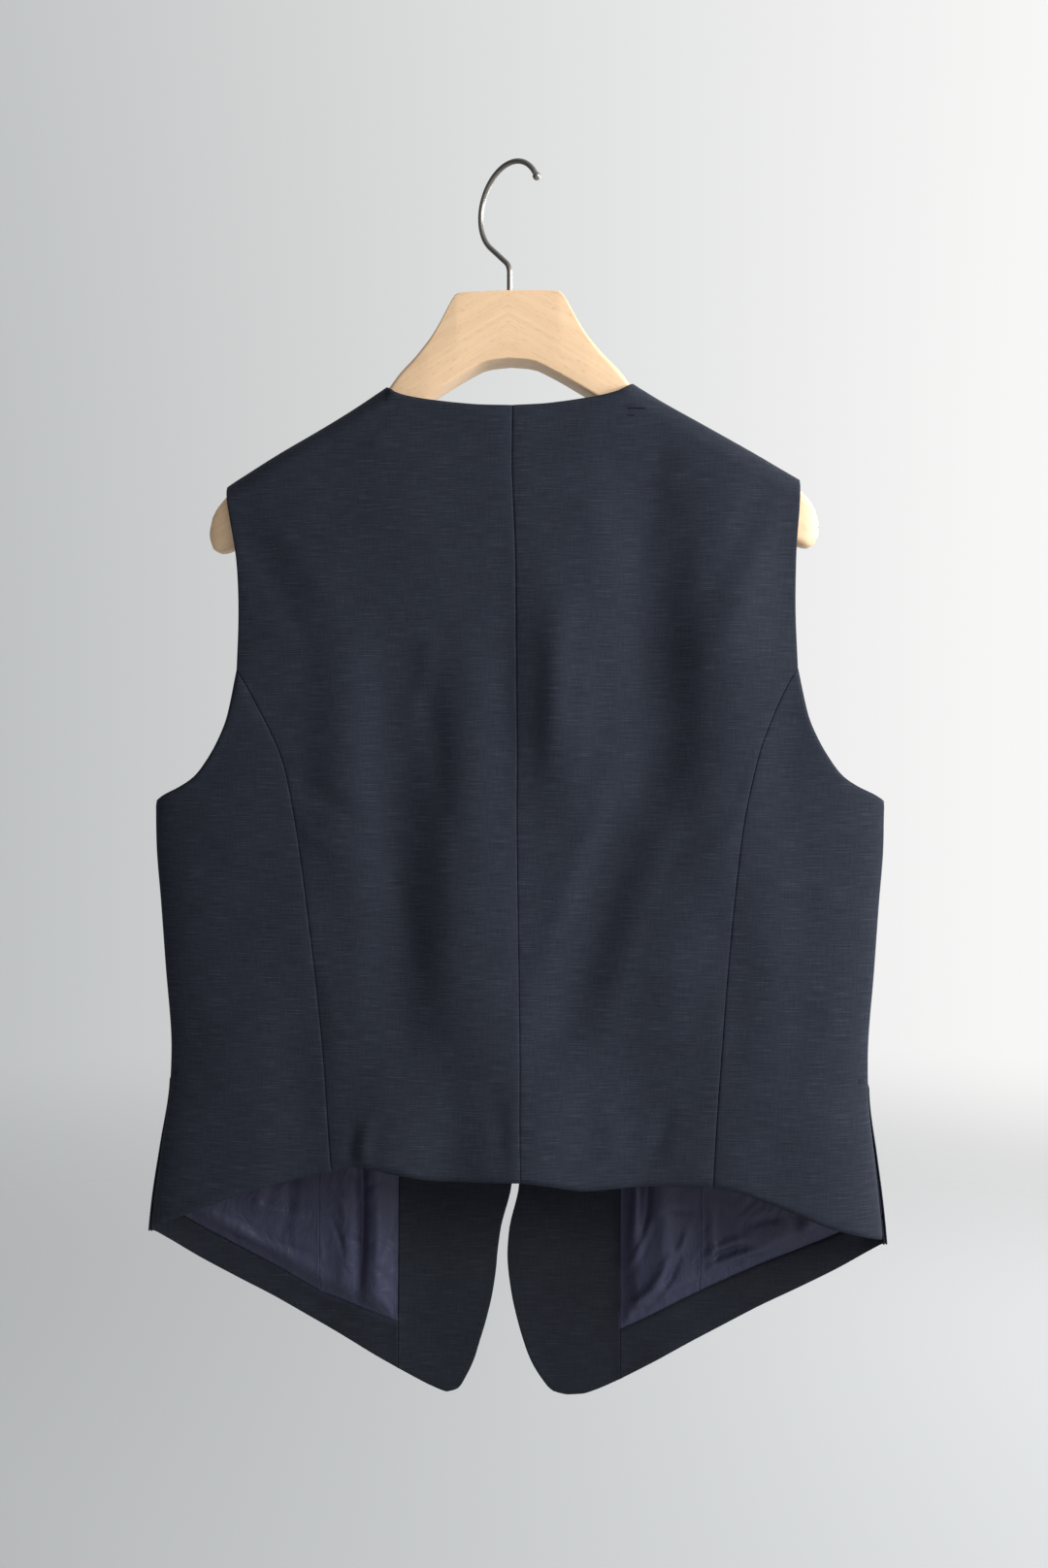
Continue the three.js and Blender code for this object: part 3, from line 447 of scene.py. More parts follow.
def draw_in(places, edges, inset=SEAM_GAP):
    """Moves the named edges in. Sewn edges go out a hair instead, to lie on their neighbours."""
    result = places.copy()
    moves = {
        "inside": (np.s_[:, 0], np.s_[:, 1]),
        "outside": (np.s_[:, -1], np.s_[:, -2]),
        "bottom": (np.s_[0], np.s_[1]),
        "top": (np.s_[-1], np.s_[-2]),
    }
    for edge in edges:
        line, inner = moves[edge]
        way = places[inner] - places[line]
        length = np.linalg.norm(way, axis=-1, keepdims=True)
        result[line] = places[line] + way * inset / length
    return result


def back_places(hand):
    def hem(x):
        return back_hem(x * hand)

    seam_x = curved_seam(hand, SEAM_FOOT)
    middle_x = back_middle(SEAM_FOOT)
    neck_rows = BACK_NECK + [(NECK_POINT, crest(NECK_POINT))]
    centre = back_line(hem(0), BACK_NECK[0][1], lambda z: hand * seam_lean(z))
    middle = back_line(hem(middle_x), crest(NECK_POINT), back_middle)
    middle[-1, 0] = NECK_POINT
    outside = back_line(
        hem(seam_x),
        crest(SHOULDER_TIP),
        lambda z: curved_seam(hand, z) if z <= SEAM_TOP else back_armhole(z),
    )
    neck = shares_between(26, True, False, 80)
    shoulder = shares_between(32, False, True, 108)
    inner = patch(
        centre,
        middle,
        cut_line(0, middle_x, neck, hem),
        along_rows(neck_rows, neck),
        neck,
    )
    outer = patch(
        middle,
        outside,
        cut_line(middle_x, seam_x, shoulder, hem),
        cut_line(NECK_POINT, SHOULDER_TIP, shoulder, crest),
        shoulder,
    )
    return draw_in(np.concatenate([inner, outer[:, 1:]], axis=1), ["inside", "outside"])


def new_material(name, finish):
    """A material with its shader's own sockets set. Gives it, its node tree and its shader."""
    material = bpy.data.materials.new(name)
    material.use_nodes = True
    shader = material.node_tree.nodes["Principled BSDF"]
    for socket, value in finish.items():
        shader.inputs[socket].default_value = value
    return material, material.node_tree, shader


def link_nodes(tree, chain):
    """Joins sockets given as (from node, output, to node, input)."""
    for source, output, target, entry in chain:
        tree.links.new(source.outputs[output], target.inputs[entry])


def node(tree, kind, **values):
    """A new node. Names of inputs are given with their values, other names are properties."""
    made = tree.nodes.new(kind)
    for key, value in values.items():
        if key in made.inputs:
            made.inputs[key].default_value = value
        else:
            setattr(made, key, value)
    return made


def ramp(tree, stops):
    made = tree.nodes.new("ShaderNodeValToRGB")
    made.color_ramp.elements[0].position = stops[0][0]
    made.color_ramp.elements[0].color = stops[0][1]
    made.color_ramp.elements[1].position = stops[-1][0]
    made.color_ramp.elements[1].color = stops[-1][1]
    for position, colour in stops[1:-1]:
        made.color_ramp.elements.new(position).color = colour
    return made


def tinted(tree, base, output, tint):
    """Multiplies the colour from one output by the colour of a ramp."""
    mix = node(tree, "ShaderNodeMix", data_type="RGBA", blend_type="MULTIPLY")
    mix.inputs[0].default_value = 1
    link_nodes(tree, [(base, output, mix, 6), (tint, "Color", mix, 7)])
    return mix


def finish_piece(piece, material, stands_for=""):
    """Gives a piece its material and slot, hangs it under the root body, and hides the solid that it
    stands for.
    """
    piece.data.materials.append(material)
    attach(piece, "root")
    if stands_for:
        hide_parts(stands_for)


def scaled_uv(tree, across, up):
    """The cloth's own coordinates in metres, times a frequency each way."""
    where = node(tree, "ShaderNodeUVMap", uv_map="cloth")
    scale = tree.nodes.new("ShaderNodeMapping")
    scale.inputs["Scale"].default_value = (across, up, 1)
    tree.links.new(where.outputs["UV"], scale.inputs["Vector"])
    return scale


def slubbed_cloth(name, dark, light, slub):
    """Plain weave of dyed linen and silk: fine threads both ways, and thick slubs mostly across."""
    material, tree, shader = new_material(name, {
        "Roughness": 0.8,
        "Specular IOR Level": 0.1,
        "Sheen Weight": 0.02,
        "Sheen Roughness": 0.45,
        "Sheen Tint": (0.62, 0.68, 0.85, 1),
    })

    weft = node(tree, "ShaderNodeTexNoise", Scale=1.0, Detail=2.0, Roughness=0.5)
    warp = node(tree, "ShaderNodeTexNoise", Scale=1.0, Detail=2.0, Roughness=0.5)
    patches = node(tree, "ShaderNodeTexNoise", Scale=1.0, Detail=3.0, Roughness=0.55)
    threads_up = node(tree, "ShaderNodeTexWave", bands_direction="X", Scale=1.0, Distortion=0.6)
    threads_across = node(tree, "ShaderNodeTexWave", bands_direction="Y", Scale=1.0, Distortion=0.6)
    for texture, across, up in (
        (weft, 60, 1900),
        (warp, 1000, 90),
        (patches, 26, 40),
        (threads_up, 640, 3),
        (threads_across, 3, 640),
    ):
        tree.links.new(scaled_uv(tree, across, up).outputs["Vector"], texture.inputs["Vector"])

    tone = ramp(tree, [(0.34, dark), (0.58, light), (0.78, slub)])
    warp_tone = ramp(tree, [(0.35, (0.88, 0.885, 0.90, 1)), (0.68, (1.08, 1.08, 1.08, 1))])
    patch_tone = ramp(tree, [(0.3, (0.94, 0.94, 0.95, 1)), (0.7, (1.03, 1.03, 1.03, 1))])
    by_warp = tinted(tree, tone, "Color", warp_tone)
    by_patch = tinted(tree, by_warp, 2, patch_tone)
    link_nodes(tree, [
        (weft, "Fac", tone, "Fac"),
        (warp, "Fac", warp_tone, "Fac"),
        (patches, "Fac", patch_tone, "Fac"),
        (by_patch, 2, shader, "Base Color"),
    ])

    weave = node(tree, "ShaderNodeMath", operation="MULTIPLY")
    slubs = node(tree, "ShaderNodeMath", operation="MULTIPLY_ADD")
    slubs.inputs[1].default_value = 2.2
    relief = node(tree, "ShaderNodeBump", Strength=0.55, Distance=0.00022)
    link_nodes(tree, [
        (threads_up, "Fac", weave, 0),
        (threads_across, "Fac", weave, 1),
        (weft, "Fac", slubs, 0),
        (weave, "Value", slubs, 2),
        (slubs, "Value", relief, "Height"),
        (relief, "Normal", shader, "Normal"),
    ])
    return material


navy_cloth = slubbed_cloth(
    "navy_cloth",
    dark=(0.0180, 0.0214, 0.0310, 1),
    light=(0.0248, 0.0294, 0.0420, 1),
    slub=(0.0420, 0.0490, 0.0660, 1),
)

for word, hand in (("left", 1), ("right", -1)):
    panel = make_cloth(
        f"back_panel_{word}",
        "back",
        hand,
        back_places(hand),
        CLOTH_LAYER,
        seams=("inside", "outside"),
        creases=BACK_CREASES[hand],
        seed=1.3 + hand,
    )
    finish_piece(panel, navy_cloth, f"back_{word}")

# Side back panels: narrow pieces from the curved seam round to the side seam.
# The same cloth, sewn to the centre back, and left open below the waist as a side vent
# with a small bar of thread across its top.
BACK_UNDERARM = [
    (180, -328), (183.5, -347), (186.6, -360), (191.6, -372), (199, -385), (208.5, -397),
    (218.3, -403.5), (230, -409),
]
SIDE_CREASES = {
    1: [
        (140, -470, 210, -452, 8, -0.9),
        (134, -548, 205, -560, 9, 0.8),
        (150, -600, 214, -622, 8, -0.8),
    ],
    -1: [
        (-142, -478, -206, -466, 8, 0.8),
        (-136, -566, -200, -550, 9, -0.9),
        (-146, -622, -210, -606, 8, 0.7),
    ],
}


def side_shares(count, length):
    """Shares that crowd towards the side seam, where the cloth turns."""
    even = shares_between(count, True, True, length)
    return np.sin(even * np.pi / 2)


def side_back_places(hand):
    def hem(x):
        return back_hem(x * hand)

    seam_x = curved_seam(hand, SEAM_FOOT)
    inside = np.array([(curved_seam(hand, z), z) for z in steps(hem(seam_x), -328, 84)])
    heights = chained(steps(BACK_CORNER, VENT_TOP, 32), steps(VENT_TOP, UNDERARM, 52))
    outside = np.array([(side_width("back", z), z) for z in heights])
    armhole = BACK_UNDERARM + [(side_width("back", UNDERARM), UNDERARM)]
    shares = side_shares(34, 110)
    even = shares_between(34, True, True, 110)
    corner_x = side_width("back", BACK_CORNER)
    places = patch(
        inside,
        outside,
        cut_line(seam_x, corner_x, shares, hem),
        along_rows(armhole, even),
        shares,
    )
    return draw_in(places, ["inside"])


for word, hand in (("left", 1), ("right", -1)):
    panel = make_cloth(
        f"side_back_panel_{word}",
        "back",
        hand,
        side_back_places(hand),
        CLOTH_LAYER,
        seams=("inside",),
        creases=SIDE_CREASES[hand],
        seed=3.1 + hand,
    )
    finish_piece(panel, navy_cloth, f"side_back_{word}")

# Fronts: two pieces of the same cloth with a V neck, a buttoned lap and cutaway points.
# Seen from behind, only what hangs below the back hem shows, from its inner side.
FRONT_ARMHOLE = [
    (-197, 188), (-215, 184.5), (-240, 177), (-270, 172), (-300, 170.5), (-330, 172),
    (-358, 179), (-382, 192), (-399, 210), (-408, 226),
]
NECK_EDGE = [
    (-134.7, 80), (-143, 79.5), (-152, 78), (-165, 75), (-190, 68), (-230, 56), (-275, 42),
    (-320, 25), (-362, 5), (-395, -10),
]
FRONT_EDGE = [  # height, middle between the two edges, half of the gap between them
    (-395, 0, -10), (-610, 0, -10), (-640, 0, -4), (-667, 0, 2.3), (-701, 7, 2.9),
    (-720, 8.5, 3.6), (-740, 8.5, 6.1), (-759, 8.5, 10.4), (-772, 8.5, 14.3), (-785, 8, 18.8),
    (-798, 7, 26), (-805, 6, 32), (-807, 5, 40),
]
FACING_EDGE = [
    (-793, 74), (-667, 74), (-560, 66), (-413, 62), (-330, 70), (-250, 88), (-200, 100),
    (-150, 108),
]
LINING_SEAM = [
    (-764, 126), (-667, 126.5), (-560, 122), (-413, 125), (-300, 132), (-200, 143),
    (-150, 146),
]
FRONT_HEM = [
    (35, -807.3), (45, -806.4), (54, -803.4), (66, -797.7), (90, -784.7), (113, -771.5),
    (137, -758.3), (161, -744.7), (187, -731), (212, -716.7), (232, -703), (240, -697),
]
HEM_STRIP_TOP = {  # wearer's side: height of the strip's upper edge at each upright line
    1: {"edge": -777, "facing": -761, "seam": -742, "side": -678.5},
    -1: {"edge": -777, "facing": -763, "seam": -736, "side": -679},
}
FRONT_LEAN = 3.8
STRIP_ROWS = 14
BODY_ROWS = 78
ARMHOLE_ROWS = 66
ROLL_ROWS = 12
FACING_COLUMNS = 26
LINING_COLUMNS = 20
LINING_SIDE_COLUMNS = 34
FRONT_CREASES = {
    1: [
        (150, -405, 80, -440, 10, -1.1),
        (150, -440, 70, -470, 8, 0.8),
        (40, -560, 120, -575, 9, 0.8),
        (16, -430, 60, -418, 7, -0.7),
    ],
    -1: [
        (-150, -402, -84, -446, 10, -1.1),
        (-146, -452, -70, -480, 8, 0.8),
        (-30, -548, -110, -570, 9, -0.8),
        (-20, -480, -66, -466, 7, 0.7),
    ],
}
front_hem = smooth_curve(FRONT_HEM)
front_armhole = smooth_curve(FRONT_ARMHOLE)
neck_edge = smooth_curve(NECK_EDGE)
edge_middle = smooth_curve(FRONT_EDGE, 0, 1)
edge_half = smooth_curve(FRONT_EDGE, 0, 2)
facing_edge = smooth_curve(FACING_EDGE)
lining_seam = smooth_curve(LINING_SEAM)


def crowded(start, end, count):
    """Steps that crowd at the start, where the front's edge turns into its hem."""
    return list(start + (end - start) * np.linspace(0, 1, count + 1) ** 1.7)


def front_line(bottom, strip_top, top, x_at, fineness):
    roll = top - ROLL_LENGTH
    heights = chained(
        crowded(bottom, strip_top, STRIP_ROWS * fineness),
        steps(strip_top, UNDERARM, BODY_ROWS * fineness),
        steps(UNDERARM, roll, ARMHOLE_ROWS),
        steps(roll, top, ROLL_ROWS),
    )
    return np.array([(x_at(z), z) for z in heights])


def front_places(hand, fineness=1):
    """The whole front's grid, from which the facing, hem strip and linings are cut too.
    Gives the grid, and the row or column of each line between those pieces."""

    def hem(x):
        return front_hem(np.abs(x))

    def edge_x(z):
        if z > NECK_EDGE[-1][0]:
            return neck_edge(z)
        return edge_half(z) + hand * edge_middle(z)

    def line(bottom, strip_height, top, x_at):
        return front_line(bottom, strip_height, top, x_at, fineness)

    def leaning(curve):
        return lambda z: curve(z) + hand * FRONT_LEAN * (1 - fade(z, -667, -560))

    strip_top = HEM_STRIP_TOP[hand]
    facing_low, facing_high = leaning(facing_edge)(-800), facing_edge(-150)
    seam_low, seam_high = leaning(lining_seam)(-800), lining_seam(-150)
    edge = line(FRONT_EDGE[-1][0], strip_top["edge"], crest(NECK_POINT), edge_x)
    facing = line(hem(facing_low), strip_top["facing"], crest(facing_high), leaning(facing_edge))
    seam = line(hem(seam_low), strip_top["seam"], crest(seam_high), leaning(lining_seam))
    facing[-1, 0] = facing_high
    seam[-1, 0] = seam_high

    side_heights = chained(
        crowded(FRONT_CORNER, strip_top["side"], STRIP_ROWS * fineness),
        steps(strip_top["side"], UNDERARM, BODY_ROWS * fineness),
    )
    side = np.array([(side_width("front", z), z) for z in side_heights])
    top = crest(SHOULDER_TIP)
    roll = np.array([(front_armhole(z), z) for z in steps(top - ROLL_LENGTH, top, ROLL_ROWS)])
    armhole_rows = [(x, z) for z, x in reversed(FRONT_ARMHOLE) if z < roll[0, 1] - 4]
    armhole = along_rows(
        [tuple(side[-1])] + armhole_rows + [tuple(roll[0])],
        np.linspace(0, 1, ARMHOLE_ROWS + 1),
    )
    outside = np.concatenate([side, armhole[1:], roll[1:]])

    facing_shares = shares_between(FACING_COLUMNS, True, True, 70)
    lining_shares = shares_between(LINING_COLUMNS * fineness, True, True, 55)
    side_spread = side_shares(LINING_SIDE_COLUMNS * fineness, 115)
    side_even = shares_between(LINING_SIDE_COLUMNS * fineness, True, True, 115)
    patches = [
        patch(
            edge,
            facing,
            cut_line(edge[0, 0], facing_low, facing_shares, hem),
            cut_line(NECK_POINT, facing_high, facing_shares, crest),
            facing_shares,
        ),
        patch(
            facing,
            seam,
            cut_line(facing_low, seam_low, lining_shares, hem),
            cut_line(facing_high, seam_high, lining_shares, crest),
            lining_shares,
        ),
        patch(
            seam,
            outside,
            cut_line(seam_low, outside[0, 0], side_spread, hem),
            cut_line(seam_high, SHOULDER_TIP, side_even, crest),
            side_spread,
        ),
    ]
    strip = STRIP_ROWS * fineness
    marks = {
        "strip": strip,
        "top": strip + BODY_ROWS * fineness + ARMHOLE_ROWS + 4,
        "facing": len(facing_shares) - 1,
        "seam": len(facing_shares) + len(lining_shares) - 2,
    }
    return np.concatenate([patches[0], patches[1][:, 1:], patches[2][:, 1:]], axis=1), marks


for word, hand in (("left", 1), ("right", -1)):
    panel = make_cloth(
        f"front_panel_{word}",
        "front",
        hand,
        front_places(hand)[0],
        CLOTH_LAYER,
        creases=FRONT_CREASES[hand],
        seed=5.2 + hand,
    )
    finish_piece(panel, navy_cloth, f"front_{word}")

# Front facings and hem strips: the fronts' own cloth, turned in behind the edges, with its colours
# darkened as painted shade.
# The facing runs up the whole front edge, and the strip follows the slanting hem.
FACING_LAYER = (-1.0, -2.2)  # outer and inner face, from the front's middle
FACING_FLAT = {"size": (0.13, 0.66), "area": 0.0385}
STRIP_FLAT = {  # the wearer's left strip hangs narrower
    1: {"size": (0.19, 0.026), "area": 0.0038},
    -1: {"size": (0.19, 0.03), "area": 0.0048},
}
FACING_CREASES = {
    1: [(20, -730, 66, -716, 7, -0.7), (30, -776, 70, -770, 6, 0.5)],
    -1: [(-12, -704, -60, -690, 8, 0.7), (-20, -760, -66, -742, 7, -0.7)],
}
# Painted shade: the navy cloth's three tones, each darkened to about 0.7, for the facings and hem
# strips that hang inside the garment.
shaded_facing_cloth = slubbed_cloth(
    "shaded_facing_cloth",
    dark=(0.0125, 0.0143, 0.0200, 1),
    light=(0.0170, 0.0194, 0.0268, 1),
    slub=(0.0275, 0.0310, 0.0405, 1),
)

for word, hand in (("left", 1), ("right", -1)):
    whole, marks = front_places(hand)
    facing = make_cloth(
        f"front_facing_{word}",
        "front",
        hand,
        draw_in(whole[: marks["top"] + 1, : marks["facing"] + 1], ["outside"]),
        FACING_LAYER,
        seams=("outside",),
        creases=FACING_CREASES[hand],
        seed=5.2 + hand,
    )
    strip = make_cloth(
        f"hem_strip_{word}",
        "front",
        hand,
        draw_in(whole[: marks["strip"] + 1, marks["facing"] :], ["inside", "top"]),
        FACING_LAYER,
        seams=("inside", "top"),
        seed=5.2 + hand,
    )
    for piece, solid, flat in (
        (facing, f"facing_{word}", FACING_FLAT),
        (strip, f"hem_facing_{word}", STRIP_FLAT[hand]),
    ):
        finish_piece(piece, shaded_facing_cloth, solid)

# Front linings: blue violet satin behind each front, in two pieces with an upright seam.
# It is cut a little large and held at the facing and the hem strip, so it ripples.
LINING_LAYER = (-1.0, -1.8)
LINING_FLAT = {"size": (0.085, 0.60), "area": 0.0312}
LINING_SIDE_FLAT = {"size": (0.13, 0.56), "area": 0.0423}
LINING_SAG = 6.4
LINING_FINENESS = 2
LINING_CREASES = {  # positive is a trough, seen from inside the garment
    1: [
        (105, -610, 105, -768, 3.6, 6.0),
        (95, -640, 94, -758, 3.4, -1.4),
        (115, -650, 116, -752, 3.6, -1.0),
        (99, -672, 86, -664, 1.4, 0.9),
        (99, -690, 84, -694, 1.3, -0.8),
        (111, -676, 122, -668, 1.4, 0.8),
        (110, -700, 124, -704, 1.3, 0.8),
        (96, -709, 110, -703, 1.8, 1.2),
        (80, -690, 94, -726, 1.6, 1.3),
        (123, -690, 112, -720, 1.7, 1.6),
        (120, -650, 104, -668, 2.2, 1.2),
        (128, -664, 110, -692, 2.0, -1.2),
        (94, -722, 84, -734, 1.5, 1.0),
    ],
    -1: [
        (-84.5, -620, -84.5, -716, 3.0, 3.2),
        (-77.5, -630, -78, -712, 3, -3.6),
        (-94, -630, -96, -740, 6, -3.0),
        (-91, -684, -75, -722, 2.2, -2.8),
        (-110, -710, -84, -752, 1.7, 2.4),
        (-106, -706, -79, -746, 2.6, -2.6),
        (-120, -684, -120, -730, 2.2, 2.4),
        (-95, -685, -118, -683, 2.2, 1.6),
        (-115, -692, -104, -714, 2.4, -2.4),
        (-76, -752, -92, -747, 1.7, 1.8),
        (-100, -655, -118, -662, 2.4, 1.2),
        (-78, -744, -122, -726, 3.0, -2.0),
    ],
}
LINING_SIDE_CREASES = {
    1: [
        (134, -690, 190, -672, 4, -2.2),
        (140, -664, 205, -652, 5, 1.8),
        (134, -714, 176, -700, 3, 1.6),
        (150, -640, 156, -706, 4, 1.6),
        (168, -640, 176, -694, 4, -1.6),
        (130, -724, 220, -675, 3.4, -2.2),
    ],
    -1: [
        (-122, -718, -158, -704, 1.8, 2.4),
        (-124, -713, -156, -698, 2.4, -2.6),
        (-124, -727, -166, -711, 1.8, 2.4),
        (-126, -722, -170, -705, 2.2, -2.4),
        (-183, -670, -183, -702, 3.4, 2.4),
        (-191, -674, -192, -696, 3.4, -2.6),
        (-127, -672, -128, -724, 2.2, -2.8),
        (-134, -656, -156, -674, 4.5, -1.8),
        (-150, -692, -180, -684, 3, 1.6),
    ],
}


def satin(name, shade, bright):
    """Warp satin: smooth, with a soft gloss along the threads and a very fine rib."""
    material, tree, shader = new_material(name, {
        "Roughness": 0.5,
        "Specular IOR Level": 0.3,
        "Anisotropic": 0.4,
        "Sheen Weight": 0.12,
        "Sheen Roughness": 0.35,
        "Sheen Tint": (0.6, 0.6, 0.95, 1),
    })
    streaks = node(tree, "ShaderNodeTexNoise", Scale=1.0, Detail=2.0, Roughness=0.5)
    rumples = node(tree, "ShaderNodeTexNoise", Scale=1.0, Detail=4.0, Roughness=0.5, Distortion=1.2)
    ribs = node(tree, "ShaderNodeTexWave", bands_direction="Y", Scale=1.0, Distortion=0.3)
    tree.links.new(scaled_uv(tree, 70, 46).outputs["Vector"], rumples.inputs["Vector"])
    tree.links.new(scaled_uv(tree, 900, 30).outputs["Vector"], streaks.inputs["Vector"])
    tree.links.new(scaled_uv(tree, 4, 420).outputs["Vector"], ribs.inputs["Vector"])
    tone = ramp(tree, [(0.3, shade), (0.7, bright)])
    rumpled = node(tree, "ShaderNodeBump", Strength=0.7, Distance=0.0024)
    relief = node(tree, "ShaderNodeBump", Strength=0.25, Distance=0.00006)
    link_nodes(tree, [
        (rumples, "Fac", rumpled, "Height"),
        (rumpled, "Normal", relief, "Normal"),
        (streaks, "Fac", tone, "Fac"),
        (tone, "Color", shader, "Base Color"),
        (ribs, "Fac", relief, "Height"),
        (relief, "Normal", shader, "Normal"),
    ])
    return material


lining_satin = satin(
    "lining_satin",
    shade=(0.0243, 0.0259, 0.0530, 1),
    bright=(0.0283, 0.0302, 0.0605, 1),
)

for word, hand in (("left", 1), ("right", -1)):
    whole, marks = front_places(hand, LINING_FINENESS)
    rows = slice(marks["strip"], marks["top"] + 1)
    middle_piece = make_cloth(
        f"lining_middle_{word}",
        "front",
        hand,
        draw_in(
            whole[rows, marks["facing"] : marks["seam"] + 1],
            ["inside", "outside", "bottom"],
        ),
        LINING_LAYER,
        seams=("inside", "outside", "bottom"),
        creases=LINING_CREASES[hand],
        seed=8.4 + hand,
        sag=LINING_SAG,
        held=("inside", "bottom"),
    )
    side_piece = make_cloth(
        f"lining_side_piece_{word}",
        "front",
        hand,
        draw_in(whole[rows, marks["seam"] :], ["inside", "bottom"]),
        LINING_LAYER,
        seams=("inside", "bottom"),
        creases=LINING_SIDE_CREASES[hand],
        seed=9.7 + hand,
        sag=LINING_SAG,
        held=("outside", "bottom"),
    )
    for piece, solid, flat in (
        (middle_piece, f"lining_{word}", LINING_FLAT),
        (side_piece, f"lining_side_{word}", LINING_SIDE_FLAT),
    ):
        finish_piece(piece, lining_satin, solid)

# Tacks: bars of thread that close the top of each side vent, and two short tacks at the neck.
# Matt thread, laid on the cloth and flattened into it: the vent bars in the cloth's colour, the neck
# tacks near black, as painted shade of the small dimple each tack pulls in the cloth.
THREAD_LENGTH_STEPS = 14
THREAD_SIDES = 8


def only(piece):
    """Selects one object and makes it the active one."""
    bpy.ops.object.select_all(action="DESELECT")
    bpy.context.view_layer.objects.active = piece
    piece.select_set(True)


def finished_thread(name, mesh):
    """Puts a thread's mesh in the scene, with its faces turned outwards."""
    piece = in_scene(name, mesh)
    only(piece)
    bpy.ops.object.mode_set(mode="EDIT")
    bpy.ops.mesh.select_all(action="SELECT")
    bpy.ops.mesh.normals_make_consistent(inside=False)
    bpy.ops.object.mode_set(mode="OBJECT")
    return piece


def thread_on_cloth(name, side, hand, path, radius, lift, closed=False):
    """A thread along a path of (x, height) places, lying on the outer face of a panel."""
    rows = np.array(list(path) + ([path[0]] if closed else []), float)
    middle, normal = on_cloth(side, hand, rows[:, 0], rows[:, 1])
    middle = middle + normal * lift
    if closed:
        middle, normal = middle[:-1], normal[:-1]
        along = np.roll(middle, -1, axis=0) - np.roll(middle, 1, axis=0)
    else:
        along = np.gradient(middle, axis=0)
    sideways = np.cross(normal, along)
    sideways /= np.linalg.norm(sideways, axis=-1, keepdims=True)
    count = len(middle)
    thickness = np.full(count, radius)
    if not closed:
        thickness[[0, -1]] = radius * 0.45
    angle = np.arange(THREAD_SIDES) * 2 * np.pi / THREAD_SIDES
    ring = np.cos(angle)[None, :, None] * sideways[:, None]
    ring = ring + 0.7 * np.sin(angle)[None, :, None] * normal[:, None]
    points = middle[:, None] + ring * thickness[:, None, None]
    index = np.arange(count * THREAD_SIDES).reshape(count, THREAD_SIDES)
    onward = np.roll(index, -1, axis=0) if closed else index[1:]
    here = index if closed else index[:-1]
    faces = np.stack(
        [here, np.roll(here, -1, axis=1), np.roll(onward, -1, axis=1), onward],
        axis=-1,
    )
    faces = faces.reshape(-1, 4).tolist()
    if not closed:
        faces += [index[0, ::-1].tolist(), index[-1].tolist()]
    return finished_thread(name, smooth_mesh(name, points.reshape(-1, 3) * MM, faces))


def matt_thread(name, shade, light):
    """Spun sewing thread: no gloss, and a slight change of tone along it."""
    material, tree, shader = new_material(name, {
        "Roughness": 0.85,
        "Specular IOR Level": 0.15,
    })
    place = node(tree, "ShaderNodeTexCoord")
    twist = node(tree, "ShaderNodeTexNoise", Scale=2600.0, Detail=1.0)
    tone = ramp(tree, [(0.3, shade), (0.7, light)])
    link_nodes(tree, [
        (place, "Object", twist, "Vector"),
        (twist, "Fac", tone, "Fac"),
        (tone, "Color", shader, "Base Color"),
    ])
    return material


sewing_thread = matt_thread("sewing_thread", (0.013, 0.015, 0.021, 1), (0.024, 0.027, 0.036, 1))
# Painted shade: near-black thread for the neck tacks, standing in for the shadow in the dimple each
# one pulls.
dimple_shade_thread = matt_thread("dimple_shade_thread", (0.004, 0.005, 0.007, 1), (0.008, 0.009, 0.012, 1))

for word, hand in (("left", 1), ("right", -1)):
    for number, drop in enumerate((0, 1.1, 2.2)):
        width = half_width(VENT_TOP)
        bar = thread_on_cloth(
            f"vent_bar_{word}_{number + 1}",
            "back",
            hand,
            [(hand * (width - reach), VENT_TOP + 2 - drop) for reach in np.linspace(7, 3, 8)],
            0.32,
            0.6,
        )
        finish_piece(bar, sewing_thread)

# The neck tacks take the near-black thread, which is painted shade.
for number, (start_x, end_x, height) in enumerate(((-76, -88, -163), (-76, -81, -167.5))):
    tack = thread_on_cloth(
        f"neck_tack_{number + 1}",
        "back",
        -1,
        [(x, height) for x in np.linspace(start_x, end_x, THREAD_LENGTH_STEPS)],
        0.45,
        0.7,
    )
    finish_piece(tack, dimple_shade_thread)

# Edge stitches: a row of short pick stitches near the front edges, neck and hem.
# Each shows as a small bar of matt thread, on the outer face and inside on the facing.
STITCH_PITCH = 4.2
STITCH_LENGTH = 1.5
STITCH_RADIUS = 0.26
STITCH_INSET = 3.2
STITCH_SIDES = 6
STITCH_STOP = 30
STITCH_SHAPE = [(-0.5, 0.35), (-0.25, 1.0), (0.25, 1.0), (0.5, 0.35)]  # share along, thickness


